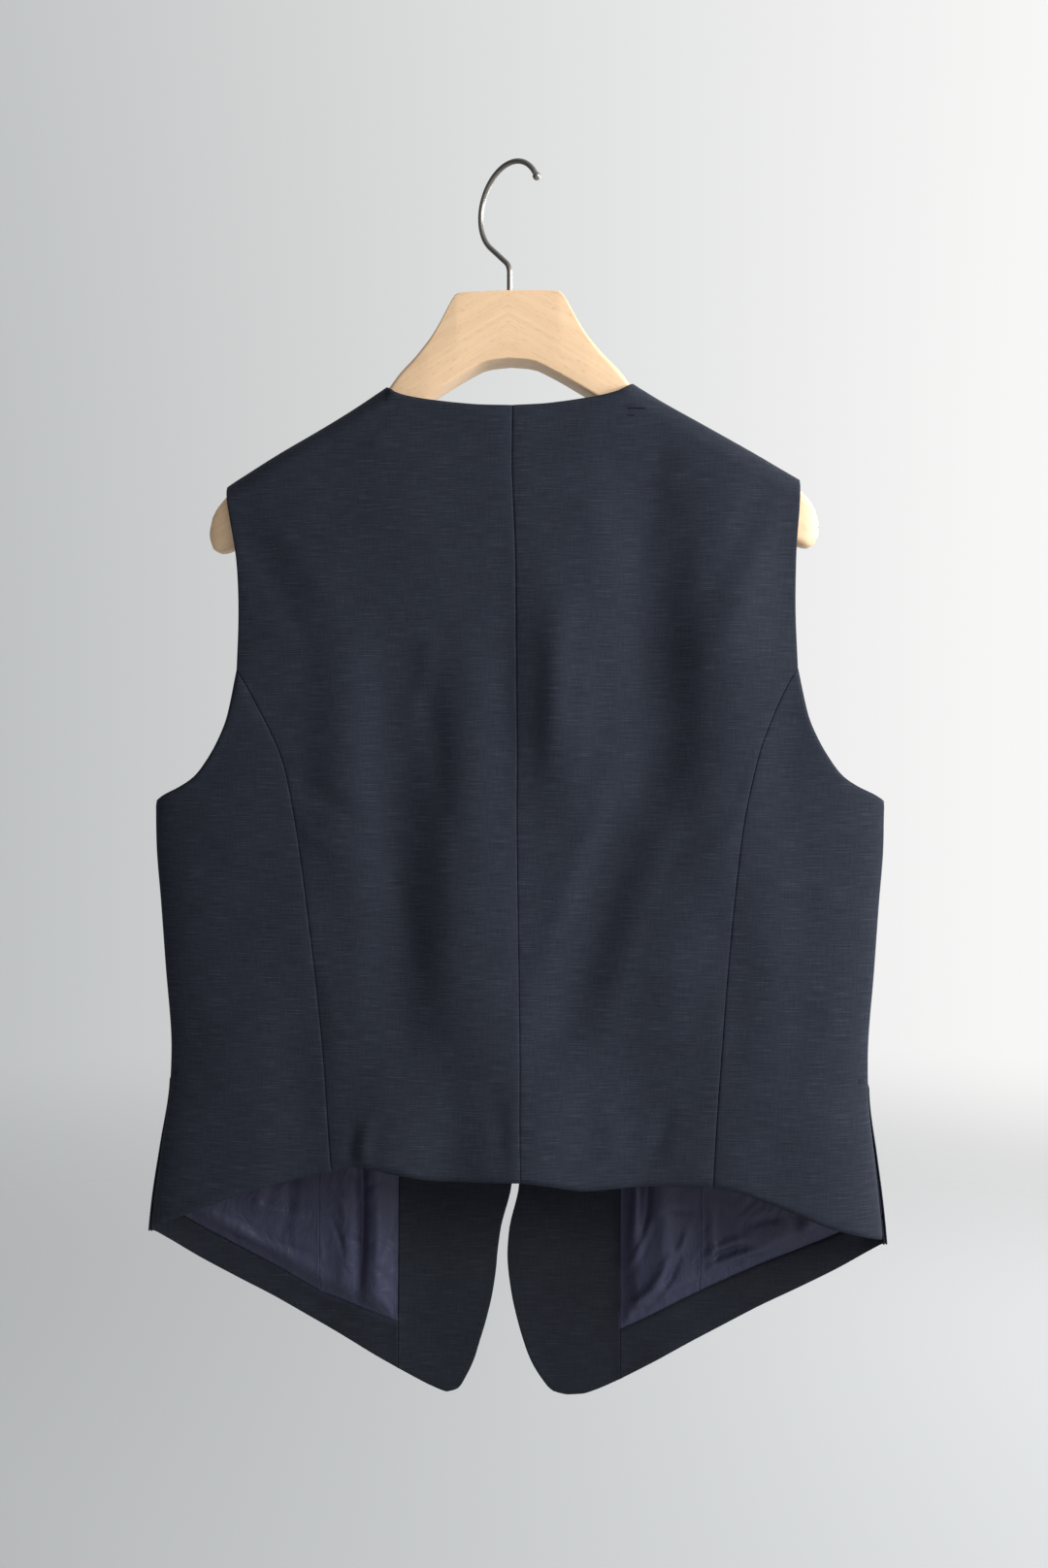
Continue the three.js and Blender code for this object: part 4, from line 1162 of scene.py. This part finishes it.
def stitch_row(name, hand, lift):
    """Short bars of thread along a front's edge and hem, all in one mesh."""
    inset = draw_in(front_places(hand)[0], ["inside", "bottom"], STITCH_INSET)
    row = np.concatenate([inset[0, :0:-1], inset[3:, 0]])
    lengths = np.concatenate([[0], np.cumsum(np.hypot(*np.diff(row, axis=0).T))])
    at = np.arange(STITCH_PITCH, lengths[-1] - STITCH_STOP, STITCH_PITCH)
    rings = []
    for share, thickness in STITCH_SHAPE:
        place = at + share * STITCH_LENGTH
        x = np.interp(place, lengths, row[:, 0]) * hand
        height = np.interp(place, lengths, row[:, 1])
        middle, normal = on_cloth("front", hand, x, height)
        rings.append((middle + normal * lift, normal, thickness))
    along = rings[-1][0] - rings[0][0]
    along /= np.linalg.norm(along, axis=-1, keepdims=True)
    angle = np.arange(STITCH_SIDES) * 2 * np.pi / STITCH_SIDES
    circles = []
    for middle, normal, thickness in rings:
        sideways = np.cross(normal, along)
        circle = np.cos(angle)[None, :, None] * sideways[:, None]
        circle = circle + np.sin(angle)[None, :, None] * normal[:, None]
        circles.append(middle[:, None] + circle * STITCH_RADIUS * thickness)
    points = np.stack(circles, axis=1).reshape(-1, 3) * MM
    faces = []
    for first in range(0, len(points), STITCH_SIDES * len(STITCH_SHAPE)):
        for ring in range(len(STITCH_SHAPE) - 1):
            here = first + ring * STITCH_SIDES
            for side in range(STITCH_SIDES):
                after = (side + 1) % STITCH_SIDES
                onward = here + STITCH_SIDES
                faces.append((here + side, here + after, onward + after, onward + side))
        last = first + (len(STITCH_SHAPE) - 1) * STITCH_SIDES
        faces.append(tuple(first + side for side in reversed(range(STITCH_SIDES))))
        faces.append(tuple(last + side for side in range(STITCH_SIDES)))
    return finished_thread(name, smooth_mesh(name, points, faces))


for word, hand in (("left", 1), ("right", -1)):
    for face, lift in (("outer", 0.62), ("inner", -2.24)):
        row = stitch_row(f"edge_stitches_{face}_{word}", hand, lift)
        finish_piece(row, sewing_thread)

# Buttonholes: corded slits in the upper layer of the lap, each running out from its button.
# The edge is worked in thread, and the slit itself is a narrow dark line.
BUTTON_HEIGHTS = [-405, -455, -505, -555, -605]
HOLE_START = 2.5
HOLE_END = -19
HOLE_HALF_WIDTH = 1.0


def oval_path(height):
    middle = (HOLE_START + HOLE_END) / 2
    reach = (HOLE_START - HOLE_END) / 2
    path = []
    for angle in np.arange(28) * 2 * np.pi / 28:
        stretch = abs(math.cos(angle)) ** 0.4 * math.copysign(1, math.cos(angle))
        path.append((middle + reach * stretch, height + HOLE_HALF_WIDTH * math.sin(angle)))
    return path


for number, height in enumerate(BUTTON_HEIGHTS):
    worked_edge = thread_on_cloth(
        f"buttonhole_{number + 1}", "front", -1, oval_path(height), 0.55, 0.72, closed=True
    )
    finish_piece(worked_edge, sewing_thread)

# Buttons: five dark four-hole buttons with a dished face, sewn through the lap.
# Cast resin, turned with a rounded rim, and fixed by two bars of thread.
BUTTON_RADIUS = 0.009
BUTTON_THICKNESS = 0.0026
BUTTON_RIM = 0.0016
BUTTON_DISH = 0.0007
HOLE_RADIUS = 0.0009
HOLE_SPREAD = 0.0015
BUTTON_SEAT = 0.8  # millimetres off the middle of the cloth
DISH_STEP = 0.0012
DISH_SINK = 0.0002
RIM_ROUNDING = 0.0007
DRILL_LENGTH = 0.008


def select_faces(piece, wanted):
    """Selects the faces whose centre and normal pass a test, and leaves edit mode on."""
    bpy.ops.object.mode_set(mode="OBJECT")
    for part in (piece.data.vertices, piece.data.edges):
        part.foreach_set("select", np.zeros(len(part), dtype=bool))
    for face in piece.data.polygons:
        face.select = wanted(face.center, face.normal)
    bpy.ops.object.mode_set(mode="EDIT")
    bpy.ops.mesh.select_mode(type="FACE")


def select_edges(piece, wanted):
    """Selects the edges whose two ends pass a test, and leaves edit mode on."""
    bpy.ops.object.mode_set(mode="OBJECT")
    points = [vertex.co for vertex in piece.data.vertices]
    for part in (piece.data.vertices, piece.data.edges, piece.data.polygons):
        part.foreach_set("select", np.zeros(len(part), dtype=bool))
    for edge in piece.data.edges:
        edge.select = wanted(points[edge.vertices[0]], points[edge.vertices[1]])
    bpy.ops.object.mode_set(mode="EDIT")
    bpy.ops.mesh.select_mode(type="EDGE")


def apply_all(piece):
    only(piece)
    bpy.ops.object.transform_apply(location=True, rotation=True, scale=True)


bpy.ops.object.select_all(action="DESELECT")
bpy.ops.mesh.primitive_cylinder_add(
    vertices=48, radius=BUTTON_RADIUS, depth=BUTTON_THICKNESS, location=(0, 0, BUTTON_THICKNESS / 2)
)
button = bpy.context.object
button.name = "button_model"
apply_all(button)
select_faces(button, lambda centre, normal: normal.z > 0.9)
bpy.ops.mesh.inset(thickness=BUTTON_RIM)
bpy.ops.transform.translate(value=(0, 0, -BUTTON_DISH))
bpy.ops.mesh.inset(thickness=DISH_STEP)
bpy.ops.transform.translate(value=(0, 0, -DISH_SINK))
select_edges(
    button,
    lambda a, b: min(math.hypot(a.x, a.y), math.hypot(b.x, b.y)) > BUTTON_RADIUS * 0.99
    and abs(a.z - b.z) < 1e-6,
)
bpy.ops.mesh.bevel(offset=RIM_ROUNDING, segments=4, affect="EDGES")
bpy.ops.object.mode_set(mode="OBJECT")
for corner_x in (-1, 1):
    for corner_y in (-1, 1):
        bpy.ops.object.select_all(action="DESELECT")
        bpy.ops.mesh.primitive_cylinder_add(
            vertices=20,
            radius=HOLE_RADIUS,
            depth=DRILL_LENGTH,
            location=(corner_x * HOLE_SPREAD, corner_y * HOLE_SPREAD, 0),
        )
        drill = bpy.context.object
        only(button)
        cut = button.modifiers.new("hole", "BOOLEAN")
        cut.object = drill
        cut.operation = "DIFFERENCE"
        bpy.ops.object.modifier_apply(modifier="hole")
        bpy.data.objects.remove(drill)
only(button)
bpy.ops.object.shade_smooth_by_angle(angle=math.radians(35))

button_resin, resin_tree, resin_shader = new_material("button_resin", {"Roughness": 0.32})
resin_place = node(resin_tree, "ShaderNodeTexCoord")
resin_swirl = node(
    resin_tree, "ShaderNodeTexNoise", Scale=240.0, Detail=3.0, Roughness=0.55, Distortion=1.4
)
resin_tone = ramp(resin_tree, [(0.36, (0.007, 0.008, 0.012, 1)), (0.66, (0.030, 0.032, 0.042, 1))])
link_nodes(resin_tree, [
    (resin_place, "Object", resin_swirl, "Vector"),
    (resin_swirl, "Fac", resin_tone, "Fac"),
    (resin_tone, "Color", resin_shader, "Base Color"),
])
button.data.materials.append(button_resin)

bpy.ops.object.select_all(action="DESELECT")
bpy.ops.mesh.primitive_uv_sphere_add(segments=14, ring_count=8, radius=0.0005)
button_thread = bpy.context.object
button_thread.name = "button_thread_model"
button_thread.scale = (4.2, 1, 1)
button_thread.location = (0, HOLE_SPREAD, BUTTON_THICKNESS - BUTTON_DISH + 0.00005)
apply_all(button_thread)
bpy.ops.object.mode_set(mode="EDIT")
bpy.ops.mesh.select_all(action="SELECT")
bpy.ops.mesh.duplicate()
bpy.ops.transform.translate(value=(0, -2 * HOLE_SPREAD, 0))
bpy.ops.object.mode_set(mode="OBJECT")
bpy.ops.object.shade_smooth()
button_thread.data.materials.append(sewing_thread)

for number, height in enumerate(BUTTON_HEIGHTS):
    seat = hung_point("front", -1, 0.0, height)
    facing_out = hung_normal("front", -1, 0.0, height)
    for model, name in ((button, "button_disc"), (button_thread, "button_thread")):
        copy = in_scene(f"{name}_{number + 1}", model.data.copy())
        tilt = math.asin(facing_out[2])
        copy.rotation_euler = (math.pi / 2 - tilt, 0, 0)
        copy.location = tuple((seat + facing_out * BUTTON_SEAT) * MM)
        apply_all(copy)
        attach(copy, "root")
        if model is button:
            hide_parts(f"button_{number + 1}")
bpy.data.objects.remove(button)
bpy.data.objects.remove(button_thread)

# Hanger body: two arms of pale beech, glued at the middle, so the grain meets in a chevron.
# Flat sawn boards shaped to one outline, with the arms rounded over and the ends turned in.
HANGER_BEND = 10
HANGER_TOP = [  # distance from the middle, height
    (0, -84.5), (20, -84.8), (31, -85.3), (33.8, -86.1), (35.4, -87.9), (38, -92.2),
    (42, -99.6), (46, -106.8), (50, -113), (55, -119.2), (60, -125), (65, -130), (70, -134.8),
    (76, -142.2), (79, -146.4), (81, -149), (100, -159.4), (125, -173.4), (150, -187.4),
    (172, -200), (184, -209), (192, -217), (197, -224), (199.5, -230.6),
]
HANGER_BOTTOM = [
    (0, -128.4), (14, -129.8), (28, -136.2), (39.4, -142.9), (56, -153.6), (70, -164.5),
    (80, -172.5), (100, -187.5), (125, -206), (150, -223), (172, -239), (184, -247),
    (192, -249), (197, -246.6), (199.5, -241.6),
]
HANGER_THICKNESS = [
    (0, 24), (50, 24), (62, 23.2), (80, 22), (125, 20), (172, 18), (184, 17.4), (192, 16.4),
    (197, 13.6), (199.5, 8),
]
HANGER_ROUNDING = [
    (0, 1.2), (36, 1.2), (50, 2), (62, 3.6), (76, 5.6), (100, 6.8), (192, 6.4), (199.5, 3),
]
HANGER_CUTS = chained(
    steps(0, 30, 5),
    steps(30, 38, 5),
    steps(38, 80, 13),
    steps(80, 184, 13),
    steps(184, 199.5, 7),
)
hanger_top = smooth_curve(HANGER_TOP)
hanger_bottom = smooth_curve(HANGER_BOTTOM)
hanger_thickness = smooth_curve(HANGER_THICKNESS)
hanger_rounding = smooth_curve(HANGER_ROUNDING)


def hanger_slice(x):
    """Middle, height and thickness of the arm at a distance from the joint, in metres."""
    top, bottom = float(hanger_top(x)), float(hanger_bottom(x))
    middle = (x * MM, -HANGER_BEND * (x / 200) ** 2 * MM, (top + bottom) / 2 * MM)
    return middle, (top - bottom) * MM, float(hanger_thickness(x)) * MM


place, tall, thick = hanger_slice(0)
bpy.ops.object.select_all(action="DESELECT")
bpy.ops.mesh.primitive_plane_add(size=1, rotation=(0, math.pi / 2, 0))
hanger = bpy.context.object
hanger.name = "hanger_body"
hanger.scale = (tall, thick, 1)
hanger.location = place
apply_all(hanger)
bpy.ops.object.mode_set(mode="EDIT")
bpy.ops.mesh.select_all(action="SELECT")
for x in HANGER_CUTS[1:]:
    new_place, new_tall, new_thick = hanger_slice(x)
    step = [new - old for old, new in zip(place, new_place)]
    bpy.ops.mesh.extrude_region_move(TRANSFORM_OT_translate={"value": step})
    bpy.ops.transform.resize(
        value=(1, new_thick / thick, new_tall / tall), center_override=new_place
    )
    place, tall, thick = new_place, new_tall, new_thick
bpy.ops.object.mode_set(mode="OBJECT")

largest_rounding = max(row[1] for row in HANGER_ROUNDING)
weights = hanger.data.attributes.new("bevel_weight_edge", "FLOAT", "EDGE")
points = [vertex.co for vertex in hanger.data.vertices]
for edge in hanger.data.edges:
    ends = [points[i] for i in edge.vertices]
    if abs(ends[0].x - ends[1].x) > 1e-5:
        middle_x = (ends[0].x + ends[1].x) / 2 / MM
        weights.data[edge.index].value = float(hanger_rounding(middle_x)) / largest_rounding
select_faces(hanger, lambda centre, normal: centre.x < 1e-6)
bpy.ops.mesh.delete(type="FACE")
bpy.ops.object.mode_set(mode="OBJECT")
rounded = hanger.modifiers.new("rounded", "BEVEL")
rounded.limit_method = "WEIGHT"
rounded.width = largest_rounding * MM
rounded.segments = 5
other_arm = hanger.modifiers.new("other_arm", "MIRROR")
other_arm.use_axis = (True, False, False)
other_arm.merge_threshold = 0.00001
only(hanger)
bpy.ops.object.modifier_apply(modifier="rounded")
bpy.ops.object.modifier_apply(modifier="other_arm")
bpy.ops.object.mode_set(mode="EDIT")
bpy.ops.mesh.select_all(action="SELECT")
bpy.ops.mesh.remove_doubles(threshold=0.00001)
bpy.ops.mesh.normals_make_consistent(inside=False)
bpy.ops.object.mode_set(mode="OBJECT")
bpy.ops.object.shade_smooth_by_angle(angle=math.radians(40))

BEECH_FINISH = {"Roughness": 0.48, "Specular IOR Level": 0.4}
beech, wood_tree, wood_shader = new_material("beech", BEECH_FINISH)
GRAIN_SLOPE = math.radians(-31)
wood_place = node(wood_tree, "ShaderNodeTexCoord")
apart = node(wood_tree, "ShaderNodeSeparateXYZ")
arm_side = node(wood_tree, "ShaderNodeMath", operation="ABSOLUTE")
arm_place = node(wood_tree, "ShaderNodeCombineXYZ")
along_arm = node(wood_tree, "ShaderNodeMapping", vector_type="POINT")
along_arm.inputs["Rotation"].default_value = (0, GRAIN_SLOPE, 0)
streak_size = node(wood_tree, "ShaderNodeMapping")
streak_size.inputs["Scale"].default_value = (14, 260, 330)
flecks_size = node(wood_tree, "ShaderNodeMapping")
flecks_size.inputs["Scale"].default_value = (210, 900, 1700)
bands_size = node(wood_tree, "ShaderNodeMapping")
bands_size.inputs["Scale"].default_value = (2.2, 30, 46)
streaks = node(wood_tree, "ShaderNodeTexNoise", Scale=1.0, Detail=4.0, Roughness=0.55)
flecks = node(wood_tree, "ShaderNodeTexNoise", Scale=1.0, Detail=1.0, Roughness=0.5)
bands = node(wood_tree, "ShaderNodeTexNoise", Scale=1.0, Detail=2.0, Roughness=0.5)
streak_tone = ramp(wood_tree, [(0.3, (0.78, 0.535, 0.325, 1)), (0.7, (0.86, 0.62, 0.40, 1))])
fleck_tone = ramp(wood_tree, [(0.64, (1, 1, 1, 1)), (0.74, (0.84, 0.77, 0.70, 1))])
band_tone = ramp(wood_tree, [(0.35, (0.96, 0.945, 0.925, 1)), (0.65, (1.03, 1.03, 1.03, 1))])
with_flecks = tinted(wood_tree, streak_tone, "Color", fleck_tone)
with_bands = tinted(wood_tree, with_flecks, 2, band_tone)
wood_relief = node(wood_tree, "ShaderNodeBump", Strength=0.2, Distance=0.0001)
link_nodes(wood_tree, [
    (wood_place, "Object", apart, "Vector"),
    (apart, "X", arm_side, 0),
    (arm_side, "Value", arm_place, "X"),
    (apart, "Y", arm_place, "Y"),
    (apart, "Z", arm_place, "Z"),
    (arm_place, "Vector", along_arm, "Vector"),
    (along_arm, "Vector", streak_size, "Vector"),
    (along_arm, "Vector", flecks_size, "Vector"),
    (along_arm, "Vector", bands_size, "Vector"),
    (streak_size, "Vector", streaks, "Vector"),
    (flecks_size, "Vector", flecks, "Vector"),
    (bands_size, "Vector", bands, "Vector"),
    (streaks, "Fac", streak_tone, "Fac"),
    (flecks, "Fac", fleck_tone, "Fac"),
    (bands, "Fac", band_tone, "Fac"),
    (with_bands, 2, wood_shader, "Base Color"),
    (streaks, "Fac", wood_relief, "Height"),
    (wood_relief, "Normal", wood_shader, "Normal"),
])
finish_piece(hanger, beech, "hanger")

# Hook: one steel wire with a satin nickel finish and a small ball worked on its end.
# It is screwed into the middle of the hanger and bent by hand tools in one upright plane.
WIRE = 0.00175
HOOK_RADIUS = 0.02875
HOOK_TURN = math.radians(44)
HOOK_START = math.radians(229)
HOOK_END = math.radians(30)
BEND_RADIUS = 0.010
STEM_FOOT = -0.0842
BALL_RADIUS = 0.00265
BALL_RINGS = 8

hook_centre = (0, 0, WIRE - HOOK_RADIUS)
first_turn = HOOK_START - math.pi
lean = (math.sin(HOOK_START), -math.cos(HOOK_START))
arc_start = (HOOK_RADIUS * math.cos(HOOK_START), hook_centre[2] + HOOK_RADIUS * math.sin(HOOK_START))
straight = (-arc_start[0] - BEND_RADIUS * (1 - math.cos(first_turn))) / -lean[0]
bend_height = arc_start[1] - straight * lean[1] - BEND_RADIUS * math.sin(first_turn)

bpy.ops.object.select_all(action="DESELECT")
bpy.ops.mesh.primitive_circle_add(
    vertices=20, radius=WIRE, fill_type="NGON", location=(0, 0, STEM_FOOT)
)
hook = bpy.context.object
hook.name = "hook_wire"
apply_all(hook)
bpy.ops.object.mode_set(mode="EDIT")
bpy.ops.mesh.select_all(action="SELECT")
bpy.ops.mesh.extrude_region_move(
    TRANSFORM_OT_translate={"value": (0, 0, bend_height - STEM_FOOT)}
)
bpy.ops.mesh.spin(
    steps=10, angle=first_turn, center=(-BEND_RADIUS, 0, bend_height), axis=(0, 1, 0)
)
bpy.ops.mesh.extrude_region_move(
    TRANSFORM_OT_translate={"value": (lean[0] * straight, 0, lean[1] * straight)}
)
bpy.ops.mesh.spin(steps=52, angle=HOOK_END - HOOK_START, center=hook_centre, axis=(0, 1, 0))
tip = (HOOK_RADIUS * math.cos(HOOK_END), 0, hook_centre[2] + HOOK_RADIUS * math.sin(HOOK_END))
ahead = (math.sin(HOOK_END), 0, -math.cos(HOOK_END))
ball_start = math.asin(WIRE * 0.98 / BALL_RADIUS)
ball_middle = BALL_RADIUS * math.cos(ball_start)
reached = 0
size = WIRE
for number in range(1, BALL_RINGS + 1):
    angle = math.pi - ball_start - (math.pi - ball_start - 0.12) * number / BALL_RINGS
    forward = ball_middle + BALL_RADIUS * math.cos(angle)
    ring_size = BALL_RADIUS * math.sin(angle)
    centre = [place + way * forward for place, way in zip(tip, ahead)]
    bpy.ops.mesh.extrude_region_move(
        TRANSFORM_OT_translate={"value": [way * (forward - reached) for way in ahead]}
    )
    bpy.ops.transform.resize(value=(ring_size / size,) * 3, center_override=centre)
    reached = forward
    size = ring_size
bpy.ops.mesh.select_all(action="SELECT")
bpy.ops.mesh.remove_doubles(threshold=0.000001)
bpy.ops.mesh.normals_make_consistent(inside=False)
bpy.ops.object.mode_set(mode="OBJECT")
hook.rotation_euler = (0, 0, math.pi - HOOK_TURN)
apply_all(hook)
bpy.ops.object.shade_smooth_by_angle(angle=math.radians(50))

satin_nickel, steel_tree, steel_shader = new_material("satin_nickel", {"Metallic": 1})
steel_place = node(steel_tree, "ShaderNodeTexCoord")
steel_noise = node(steel_tree, "ShaderNodeTexNoise", Scale=900.0, Detail=3.0)
steel_tone = ramp(steel_tree, [(0.3, (0.25, 0.235, 0.215, 1)), (0.7, (0.32, 0.30, 0.275, 1))])
steel_gloss = ramp(steel_tree, [(0.3, (0.36, 0.36, 0.36, 1)), (0.7, (0.46, 0.46, 0.46, 1))])
link_nodes(steel_tree, [
    (steel_place, "Object", steel_noise, "Vector"),
    (steel_noise, "Fac", steel_tone, "Fac"),
    (steel_noise, "Fac", steel_gloss, "Fac"),
    (steel_tone, "Color", steel_shader, "Base Color"),
    (steel_gloss, "Color", steel_shader, "Roughness"),
])
finish_piece(hook, satin_nickel, "hook")

# Room: a plain pale floor that thins out far away into a plain pale surround.
# The surround is brighter on the wearer's right, where the daylight comes from.
FLOOR_HEIGHT = -1.25
FLOOR_SOLID = 0.3
FLOOR_GONE = 4.2

FLOOR_FINISH = {"Base Color": (0.40, 0.41, 0.42, 1), "Roughness": 0.9}
floor_paint, floor_tree, floor_shader = new_material("floor_paint", FLOOR_FINISH)
floor_place = node(floor_tree, "ShaderNodeTexCoord")
floor_reach = node(floor_tree, "ShaderNodeVectorMath", operation="LENGTH")
floor_fade = node(floor_tree, "ShaderNodeMapRange", interpolation_type="SMOOTHSTEP")
floor_fade.inputs["From Min"].default_value = FLOOR_SOLID
floor_fade.inputs["From Max"].default_value = FLOOR_GONE
nothing = node(floor_tree, "ShaderNodeBsdfTransparent")
thinned = node(floor_tree, "ShaderNodeMixShader")
link_nodes(floor_tree, [
    (floor_place, "Object", floor_reach, 0),
    (floor_reach, "Value", floor_fade, "Value"),
    (floor_fade, "Result", thinned, "Fac"),
    (floor_shader, "BSDF", thinned, 1),
    (nothing, "BSDF", thinned, 2),
    (thinned, "Shader", floor_tree.nodes["Material Output"], "Surface"),
])
bpy.ops.object.select_all(action="DESELECT")
bpy.ops.mesh.primitive_plane_add(size=14, location=(0, 0, FLOOR_HEIGHT))
floor = bpy.context.object
floor.name = "floor"
floor.data.materials.append(floor_paint)

surround = bpy.data.worlds.new("surround")
surround.use_nodes = True
sky_tree = surround.node_tree
sky = sky_tree.nodes["Background"]
sky.inputs["Strength"].default_value = 1.0
direction = node(sky_tree, "ShaderNodeTexCoord")
sky_parts = node(sky_tree, "ShaderNodeSeparateXYZ")
sideways = node(sky_tree, "ShaderNodeMapRange")
sideways.inputs["From Min"].default_value = 1
sideways.inputs["From Max"].default_value = -1
backwards = node(sky_tree, "ShaderNodeMapRange", interpolation_type="SMOOTHSTEP")
backwards.inputs["From Min"].default_value = -0.35
backwards.inputs["From Max"].default_value = 0.35
wall_tone = ramp(sky_tree, [
    (0.0, (0.12, 0.125, 0.13, 1)),
    (0.33, (0.55, 0.565, 0.57, 1)),
    (0.62, (0.93, 0.93, 0.925, 1)),
    (1.0, (1.0, 1.0, 0.99, 1)),
])
room_tone = ramp(sky_tree, [
    (0.0, (0.07, 0.075, 0.08, 1)),
    (0.3, (0.26, 0.265, 0.27, 1)),
    (0.6, (0.66, 0.66, 0.66, 1)),
    (1.0, (0.85, 0.85, 0.85, 1)),
])
whole_room = node(sky_tree, "ShaderNodeMix", data_type="RGBA")
link_nodes(sky_tree, [
    (direction, "Generated", sky_parts, "Vector"),
    (sky_parts, "X", sideways, "Value"),
    (sky_parts, "Y", backwards, "Value"),
    (sideways, "Result", wall_tone, "Fac"),
    (sideways, "Result", room_tone, "Fac"),
    (backwards, "Result", whole_room, 0),
    (wall_tone, "Color", whole_room, 6),
    (room_tone, "Color", whole_room, 7),
    (whole_room, 2, sky, "Color"),
])
bpy.context.scene.world = surround

LIGHTS = [  # name, place, size, power
    ("window", (-1.85, 0.80, 0.2), 1.0, 66),
    ("front_window", (-1.3, -1.8, 0.3), 1.0, 42),
]
for name, place, size, power in LIGHTS:
    lamp = bpy.data.lights.new(name, "AREA")
    lamp.size = size
    lamp.energy = power
    holder = in_scene(name, lamp)
    holder.location = place
    aim = np.array([0, 0, -0.4]) - np.array(place)
    turn = math.atan2(-aim[0], aim[1])
    tilt = math.atan2(math.hypot(aim[0], aim[1]), -aim[2])
    holder.rotation_euler = (tilt, 0, turn)

# Camera: level, a little to the wearer's right, as the photograph was taken.
CAMERA_TURN = math.radians(3.6)
CAMERA_DISTANCE = 0.990
CAMERA_SHIFT = -0.00945
CAMERA_HEIGHT = -0.402
camera_data = bpy.data.cameras.new("camera")
camera_data.lens = 35
camera_data.sensor_width = 36
camera = in_scene("camera", camera_data)
camera.location = (
    CAMERA_SHIFT * math.cos(CAMERA_TURN) - CAMERA_DISTANCE * math.sin(CAMERA_TURN),
    CAMERA_SHIFT * -math.sin(CAMERA_TURN) + CAMERA_DISTANCE * math.cos(CAMERA_TURN),
    CAMERA_HEIGHT,
)
camera.rotation_euler = (math.pi / 2, 0, math.pi + CAMERA_TURN)
bpy.context.scene.camera = camera
bpy.context.scene.view_settings.view_transform = "Standard"
